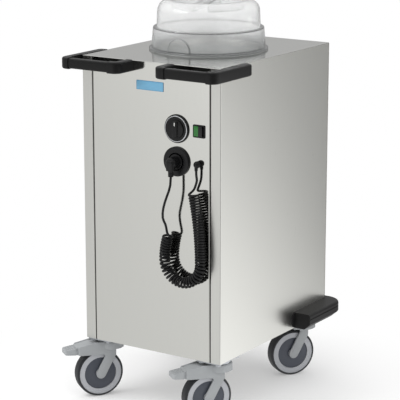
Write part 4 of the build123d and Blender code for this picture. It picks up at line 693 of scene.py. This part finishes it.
# Fork and pedal are satin mid-grey, the rim is paler, the discs are blue-grey, and the tyre is matt.
fork_plastic = mottled("grey polyamide fork", "#979A9C", "#A4A7A9", 0.45, 1.5, 0.02, 1.53)
rim_plastic = mottled("grey polypropylene rim", "#A9ABB0", "#B5B7BB", 0.4, 1.5, 0.015, 1.49)
disc_plastic = mottled("dark cover disc", "#3E424B", "#484C56", 0.4, 1.5, 0.02, 1.49)
tyre_rubber = mottled("solid rubber tyre", "#1E2023", "#292B2F", 0.55, 1.2, 0.03, 1.52)
castor_heading = math.radians(234.4)
TRAIL = np.array([math.cos(castor_heading), math.sin(castor_heading), 0])
ACROSS = np.array([-math.sin(castor_heading), math.cos(castor_heading), 0])
CASTOR_X, CASTOR_Y, TRAIL_LENGTH, WHEEL_RADIUS = 168, 209, 34, 62.5
LEG = [(51.6, 57.3), (28.8, 44.9)]


def castor(name, x, y, braked):
    """One castor: plates as (trail, height) outlines carried across the wheel, and turned wheel parts."""
    base = np.array([x, y, 0.0])
    axle = base + TRAIL_LENGTH * TRAIL + WHEEL_RADIUS * Z
    axes = (TRAIL, Z, ACROSS)
    prefix = f"castor_{name}"
    if braked:
        outline = rounded([(-28, 129), (-28, 149.5), (50, 149.5), (95, 141), (95, 118), (20.6, 113.9), *LEG,
                           (-7.4, 111.8), (-7.4, 129)],
                          [3, 3, 18, 5, 5, 4, 13, 13, 4, 3])
    else:
        outline = rounded([(-28, 129), (-28, 149.5), (36, 149.5), (36, 129), (12.8, 129), *LEG,
                           (-7.4, 111.8), (-7.4, 129)],
                          [3, 3, 5, 4, 5, 13, 13, 4, 3])
    head = np.concatenate([[(10, 129), (33, 129)], arc((33, 130), 1, -90, 0, 3), [(34, 145)],
                           arc((29.5, 145), 4.5, 0, 90, 6), [(8, 149.5)]])
    fork = piece(f"{prefix}_grey_fork", f"{prefix}_swivel", "castor_grey_plastic", fork_plastic,
                 carried(outline, edged(18.5, 23.5, 0.6, 1.6), base, axes),
                 carried(outline, edged(-23.5, -18.5, 1.6, 0.6), base, axes),
                 turned(head, base, Z))
    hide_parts(f"{prefix}_fork")
    half_rim = [(6.05, 17.5), (11.6, 17.5), (12, 17), (12, 10.5), (17, 10.5), (17, 5), (42.5, 5),
                (42.5, 14.6), (42.9, 15), (56.5, 15)]
    whole_rim = [(r, -w) for r, w in half_rim] + half_rim[::-1] + [(6.05, -17.5)]
    wheel = piece(f"{prefix}_rim", f"{prefix}_wheel", "wheel_grey_plastic", rim_plastic,
                  turned(whole_rim, axle, ACROSS, 96))
    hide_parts(f"{prefix}_wheel")
    tread = np.concatenate([[(56.5, -16)], arc((57.5, -11), 5, -90, 0, 6), arc((57.5, 11), 5, 0, 90, 6),
                            [(56.5, 16), (56.5, -16)]])
    tyre = piece(f"{prefix}_rubber", f"{prefix}_wheel", "tyre_rubber", tyre_rubber,
                 turned(tread, axle, ACROSS, 96))
    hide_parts(f"{prefix}_tyre")
    dish = np.array([(12.4, 11), (12.4, 13.6), (13, 14), (24, 13.9), (40.5, 13.1), (41.6, 12.9), (42.1, 12.4),
                     (42.1, 10), (12.4, 11)])
    discs = piece(f"{prefix}_covers", f"{prefix}_wheel", "wheel_disc_plastic", disc_plastic,
                  turned(dish, axle, ACROSS, 96), turned(dish * (1, -1), axle, ACROSS, 96))
    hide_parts(f"{prefix}_discs")
    if not braked:
        return
    lever = rounded([(38, 131), (38, 146), (58, 147.5), (99, 139), (103, 121), (80, 114.5), (50, 126)],
                    [3, 3, 8, 3, 3, 5, 8])
    # The tread plate is 30 mm long: towards its end its top falls by 4.5 mm and its underside rises by 3 mm.
    # Five ribs lie across it, 6 mm apart.
    start, length, low, high, fall, rise = 99, 30, 119, 138.5, 4.5, 3
    tip = rounded([(start, -19), (start + length, -19), (start + length, 19), (start, 19)], [2, 7, 7, 2])
    plate = carried(tip, edged(low, high, 2.5), base, (TRAIL, ACROSS, Z))
    reach = ((plate - base) @ TRAIL - start) / length
    up = (plate[..., 2] - low) / (high - low)
    plate = plate + (reach * (rise * (1 - up) - fall * up))[..., None] * Z
    ribs = [carried(rounded([(u - 1.2, -14), (u + 1.2, -14), (u + 1.2, 14), (u - 1.2, 14)], [1.1] * 4),
                    edged(z - 2, z + 1.4, 0.1, 0.8), base, (TRAIL, ACROSS, Z))
            for u, z in ((start + 3 + 6 * k, high + 0.1 - (3 + 6 * k) * fall / length) for k in range(5))]
    pedal = piece(f"{prefix}_brake_pedal", f"{prefix}_brake", "castor_grey_plastic", fork_plastic,
                  carried(lever, edged(-17.5, 17.5, 1.2), base, axes), plate, *ribs,
                  turned([(4, -21.5), (4, 21.5)], base + 50 * TRAIL + 137 * Z, ACROSS, 24))
    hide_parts(f"{prefix}_pedal")


for end, way in (("front", -1), ("rear", 1)):
    for hand, side in (("left", -1), ("right", 1)):
        castor(f"{end}_{hand}", side * CASTOR_X, CASING_Y + way * CASTOR_Y, end == "front")

# ================================================================ lid
# The lid is blown from hazy polycarbonate, nearly 3 mm thick: a flange on the deck, a sloping skirt with an
# arched thumb pad, a ledge and a dome. Two finger recesses in its top leave a ridge to lift it by.
LID, LID_WALL = np.array([0.0, CASING_Y]), 2.8
RIDGE, PAD = math.radians(111), math.radians(272)
DOME_TOP, RECESS_FLOOR, TOP_RADIUS, SHOULDER = 1026.0, 1006.0, 103.0, 28.0
RECESS_MIDDLE, RECESS_RADIUS, RIDGE_HALF, RECESS_CORNER = 48.0, 89.0, 17.0, 14
PAD_FACE, PAD_RADIUS, PAD_Z, PAD_EDGE = 147.5, 35.0, 909.0, 2.4


def lid_half(start, angles):
    """Half of the lid, on one side of the ridge's middle line. Its columns are rays from the recess's middle
    to the top's rim, which is a half circle and the ridge's middle line. Its rows go up from the recess floor
    over the wall to that rim, and from there a profile of (radius, height) goes down to the flange. Inside
    the pad's outline the radius grows to that of a flat face: its distance / cos(angle from its middle).
    A fourth column is a share of painted shade: 0.8 to 1 on thin lines at the ledge, the foot, the pad's edge
    and the recess's lip, falling to 0 beside them."""
    along = np.array([math.cos(start), math.sin(start)])
    aside = np.array([math.sin(start), -math.cos(start)])
    straight = np.linspace(-1, 1, 42)[1:-1] * TOP_RADIUS
    rim = np.concatenate([TOP_RADIUS * np.stack([np.cos(angles), np.sin(angles)], -1),
                          np.stack([straight, 0 * straight], -1)])
    # A ray ends at the recess's circle or at its straight side, whichever is nearer, with a round corner.
    middle = np.array([0.0, RECESS_MIDDLE])
    ray = rim - middle
    ray /= np.linalg.norm(ray, axis=1)[:, None]
    to_circle = -ray @ middle + np.sqrt((ray @ middle) ** 2 + RECESS_RADIUS**2 - middle @ middle)
    to_ridge = np.where(ray[:, 1] < -1e-3, (RIDGE_HALF - RECESS_MIDDLE) / np.minimum(ray[:, 1], -1e-3), 1e4)
    reach = (to_circle**-RECESS_CORNER + to_ridge**-RECESS_CORNER) ** (-1 / RECESS_CORNER)
    low, high = np.radians(np.linspace(0, 90, 6)), np.radians([20, 40, 60, 90])
    rows = [(-4 + 4 * math.sin(a), RECESS_FLOOR + 4 - 4 * math.cos(a)) for a in low]
    rows += [(0.3, DOME_TOP - 3.4)]
    rows += [(3.5 - 3.2 * math.cos(a), DOME_TOP - 3.2 + 3.2 * math.sin(a)) for a in high]
    flat = [middle + ray * (reach + out)[:, None] for out, _ in rows] + [rim]
    heights = np.array([z for _, z in rows] + [DOME_TOP])[:, None, None] + np.zeros((len(flat), len(rim), 1))
    # Painted shade along the recess's lip.
    lines = np.exp(-((heights - (DOME_TOP - 1.8)) / 1.2) ** 2)
    top = np.concatenate([np.stack(flat), heights, lines], -1)
    # From the top: the shoulder, the dome's wall, the ledge, the sloping skirt, and the flange on the deck.
    profile = np.concatenate([
        arc((TOP_RADIUS, DOME_TOP - SHOULDER), SHOULDER, 90, 1, 12),
        [(131.5, 988), (132.2, 972), (132.8, 960.5)],
        arc((134.8, 959.3), 1.8, 180, 270, 4), [(138, 957.5)], arc((140.2, 955.7), 1.8, 90, 6, 5),
        np.stack([np.linspace(142.2, 146.1, 32), np.linspace(955, 909.5, 32)], -1),
        [(146.5, 907), (147.2, 906.2), (149, 906)], arc((151, 904.5), 1.5, 90, 0, 4),
        [(152.5, 902), (152.5, 900)],
    ])
    radius, height = profile[:, :1] + 0 * angles, profile[:, 1:] + 0 * angles
    off_pad = (start - angles - PAD + math.pi) % (2 * math.pi) - math.pi
    across_pad = np.where(np.abs(off_pad) < 1, PAD_FACE * np.tan(np.clip(off_pad, -1, 1)), 999)
    from_pad = np.hypot(across_pad, np.maximum(height - PAD_Z, 0))
    inside = np.clip((PAD_RADIUS - from_pad) / PAD_EDGE, 0, 1)
    on_skirt = (height > 905.9) * (height < 950)
    proud = np.maximum(np.hypot(PAD_FACE, across_pad) - radius, 0) * inside**2 * (3 - 2 * inside) * on_skirt
    # Painted shade lines at the ledge, the foot and the pad's edge.
    ledge_line, foot_line = np.exp(-((height - 956.6) / 1.5) ** 2), 0.8 * np.exp(-((height - 907) / 1.6) ** 2)
    pad_line = 3.4 * inside * (1 - inside) * (height > 908) * (height < 950)
    lines = np.maximum(np.maximum(ledge_line, foot_line), pad_line)
    wall = np.stack([(radius + proud) * np.cos(angles), (radius + proud) * np.sin(angles), height, lines], -1)
    return [np.concatenate([LID + part[..., :1] * along + part[..., 1:2] * aside, part[..., 2:]], -1)
            for part in (top, wall)]


def spread(*stops):
    """Angles in degrees from stop to stop, each run with its own even step, as radians."""
    runs = [np.arange(a, b - 1e-6, step) for a, b, step in stops]
    return np.radians(np.concatenate([*runs, [180.0]]))


# The half that has the thumb pad takes finer steps round it.
lid_points, lid_faces, count = [], [], 0
for start, angles in ((RIDGE, spread((0, 180, 2.25))),
                      (RIDGE + math.pi, spread((0, 4, 2), (4, 34, 0.4), (34, 180, 2)))):
    top, wall = lid_half(start, angles)
    for grid, loops in ((top, True), (wall, False)):
        rows, columns = grid.shape[:2]
        index = np.arange(rows * columns).reshape(rows, columns) + count
        after = np.roll(index, -1, 1) if loops else index[:, 1:]
        here = index if loops else index[:, :-1]
        quads = np.stack([here[:-1], after[:-1], after[1:], here[1:]], -1)
        lid_faces += quads.reshape(-1, 4).tolist()
        if loops:
            lid_faces.append(index[0].tolist())
        lid_points.append(grid.reshape(-1, 4))
        count += rows * columns
lid_mesh = bpy.data.meshes.new("clear_lid")
lid_points = np.concatenate(lid_points)
lid_mesh.from_pydata(lid_points[:, :3] / 1000, [], lid_faces)
# Each point of the lid carries its share of painted fold shade.
lid_mesh.attributes.new("painted_fold_shade", "FLOAT", "POINT").data.foreach_set("value", lid_points[:, 3])
welded = bmesh.new()
welded.from_mesh(lid_mesh)
bmesh.ops.remove_doubles(welded, verts=welded.verts, dist=2e-5)
bmesh.ops.recalc_face_normals(welded, faces=welded.faces)
if welded.calc_volume(signed=True) < 0:
    bmesh.ops.reverse_faces(welded, faces=welded.faces)
welded.to_mesh(lid_mesh)
welded.free()
lid_mesh.shade_smooth()
lid_mesh.set_sharp_from_angle(angle=math.radians(50))

# Hazy polycarbonate: colourless, index 1.58, clouded by years of washing, so it lets light through but shows
# only blurred shapes, with the faint waviness of blown sheet.
clear_plastic, tree, shader, place = bare_material("hazy polycarbonate", "#F2F3F3", 0.1, ior=1.58)
shader.inputs["Transmission Weight"].default_value = 0.8
# Painted shade: where its wall is seen edge-on, except on its top, and along thin lines at its folds, the
# colour turns dark grey. From the ledge down to its foot it is painted greyer.
grazing = node(tree, "LayerWeight", {"Blend": 0.5})
edge = node(tree, "MapRange", {"Value": grazing.outputs["Facing"], "From Min": 0.62, "From Max": 1.0},
            interpolation_type="SMOOTHSTEP")
lid_height = node(tree, "SeparateXYZ", {"Vector": place}).outputs["Z"]
# Painted shade: the colour greys from the ledge down to the foot.
foot = node(tree, "MapRange", {"Value": lid_height, "From Min": 0.958, "From Max": 0.906})
below_top = node(tree, "MapRange", {"Value": lid_height, "From Min": 1.02, "From Max": 1.0})
foot_shade_tone = node(tree, "MixRGB", {"Fac": foot.outputs["Result"], "Color1": linear("#FBFBFB"),
                                   "Color2": linear("#C2C4C4")})
edge_share = node(tree, "Math", {0: edge.outputs["Result"], 1: below_top.outputs["Result"]},
                  operation="MULTIPLY")
# The painted shade on the fold lines.
shaded_fold = node(tree, "Attribute", attribute_name="painted_fold_shade")
fold_share = node(tree, "Math", {0: shaded_fold.outputs["Fac"], 1: 0.85}, operation="MULTIPLY")
painted_shade_share = node(tree, "Math", {0: edge_share.outputs[0], 1: fold_share.outputs[0]}, operation="MAXIMUM")
lid_tone = node(tree, "MixRGB", {"Fac": painted_shade_share.outputs[0], "Color1": foot_shade_tone.outputs["Color"],
                                 "Color2": linear("#2A2B2C")})
tree.links.new(lid_tone.outputs["Color"], shader.inputs["Base Color"])
wave = node(tree, "TexNoise", {"Vector": place, "Scale": 1 / 0.05, "Detail": 1.0})
dent = node(tree, "Bump", {"Height": wave.outputs["Fac"], "Distance": 0.0004, "Strength": 1.0})
tree.links.new(dent.outputs["Normal"], shader.inputs["Normal"])
# Its shadow is that of a thin sheet, nearly as clear as air.
see_through = node(tree, "BsdfTransparent", {"Color": (0.93, 0.94, 0.94, 1)})
ray = node(tree, "LightPath").outputs
shadow = node(tree, "Math", {0: ray["Is Shadow Ray"], 1: ray["Is Diffuse Ray"]}, operation="MAXIMUM")
shadowed = node(tree, "MixShader", {0: shadow.outputs[0], 1: shader.outputs[0], 2: see_through.outputs[0]})
tree.links.new(shadowed.outputs[0], tree.nodes["Material Output"].inputs["Surface"])
lid_mesh.materials.append(clear_plastic)
clear_lid = bpy.data.objects.new("clear_lid", lid_mesh)
bpy.context.scene.collection.objects.link(clear_lid)
wall = clear_lid.modifiers.new("wall", "SOLIDIFY")
wall.thickness, wall.offset, wall.use_even_offset = LID_WALL / 1000, -1.0, True
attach(clear_lid, "lid")
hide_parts("lid")
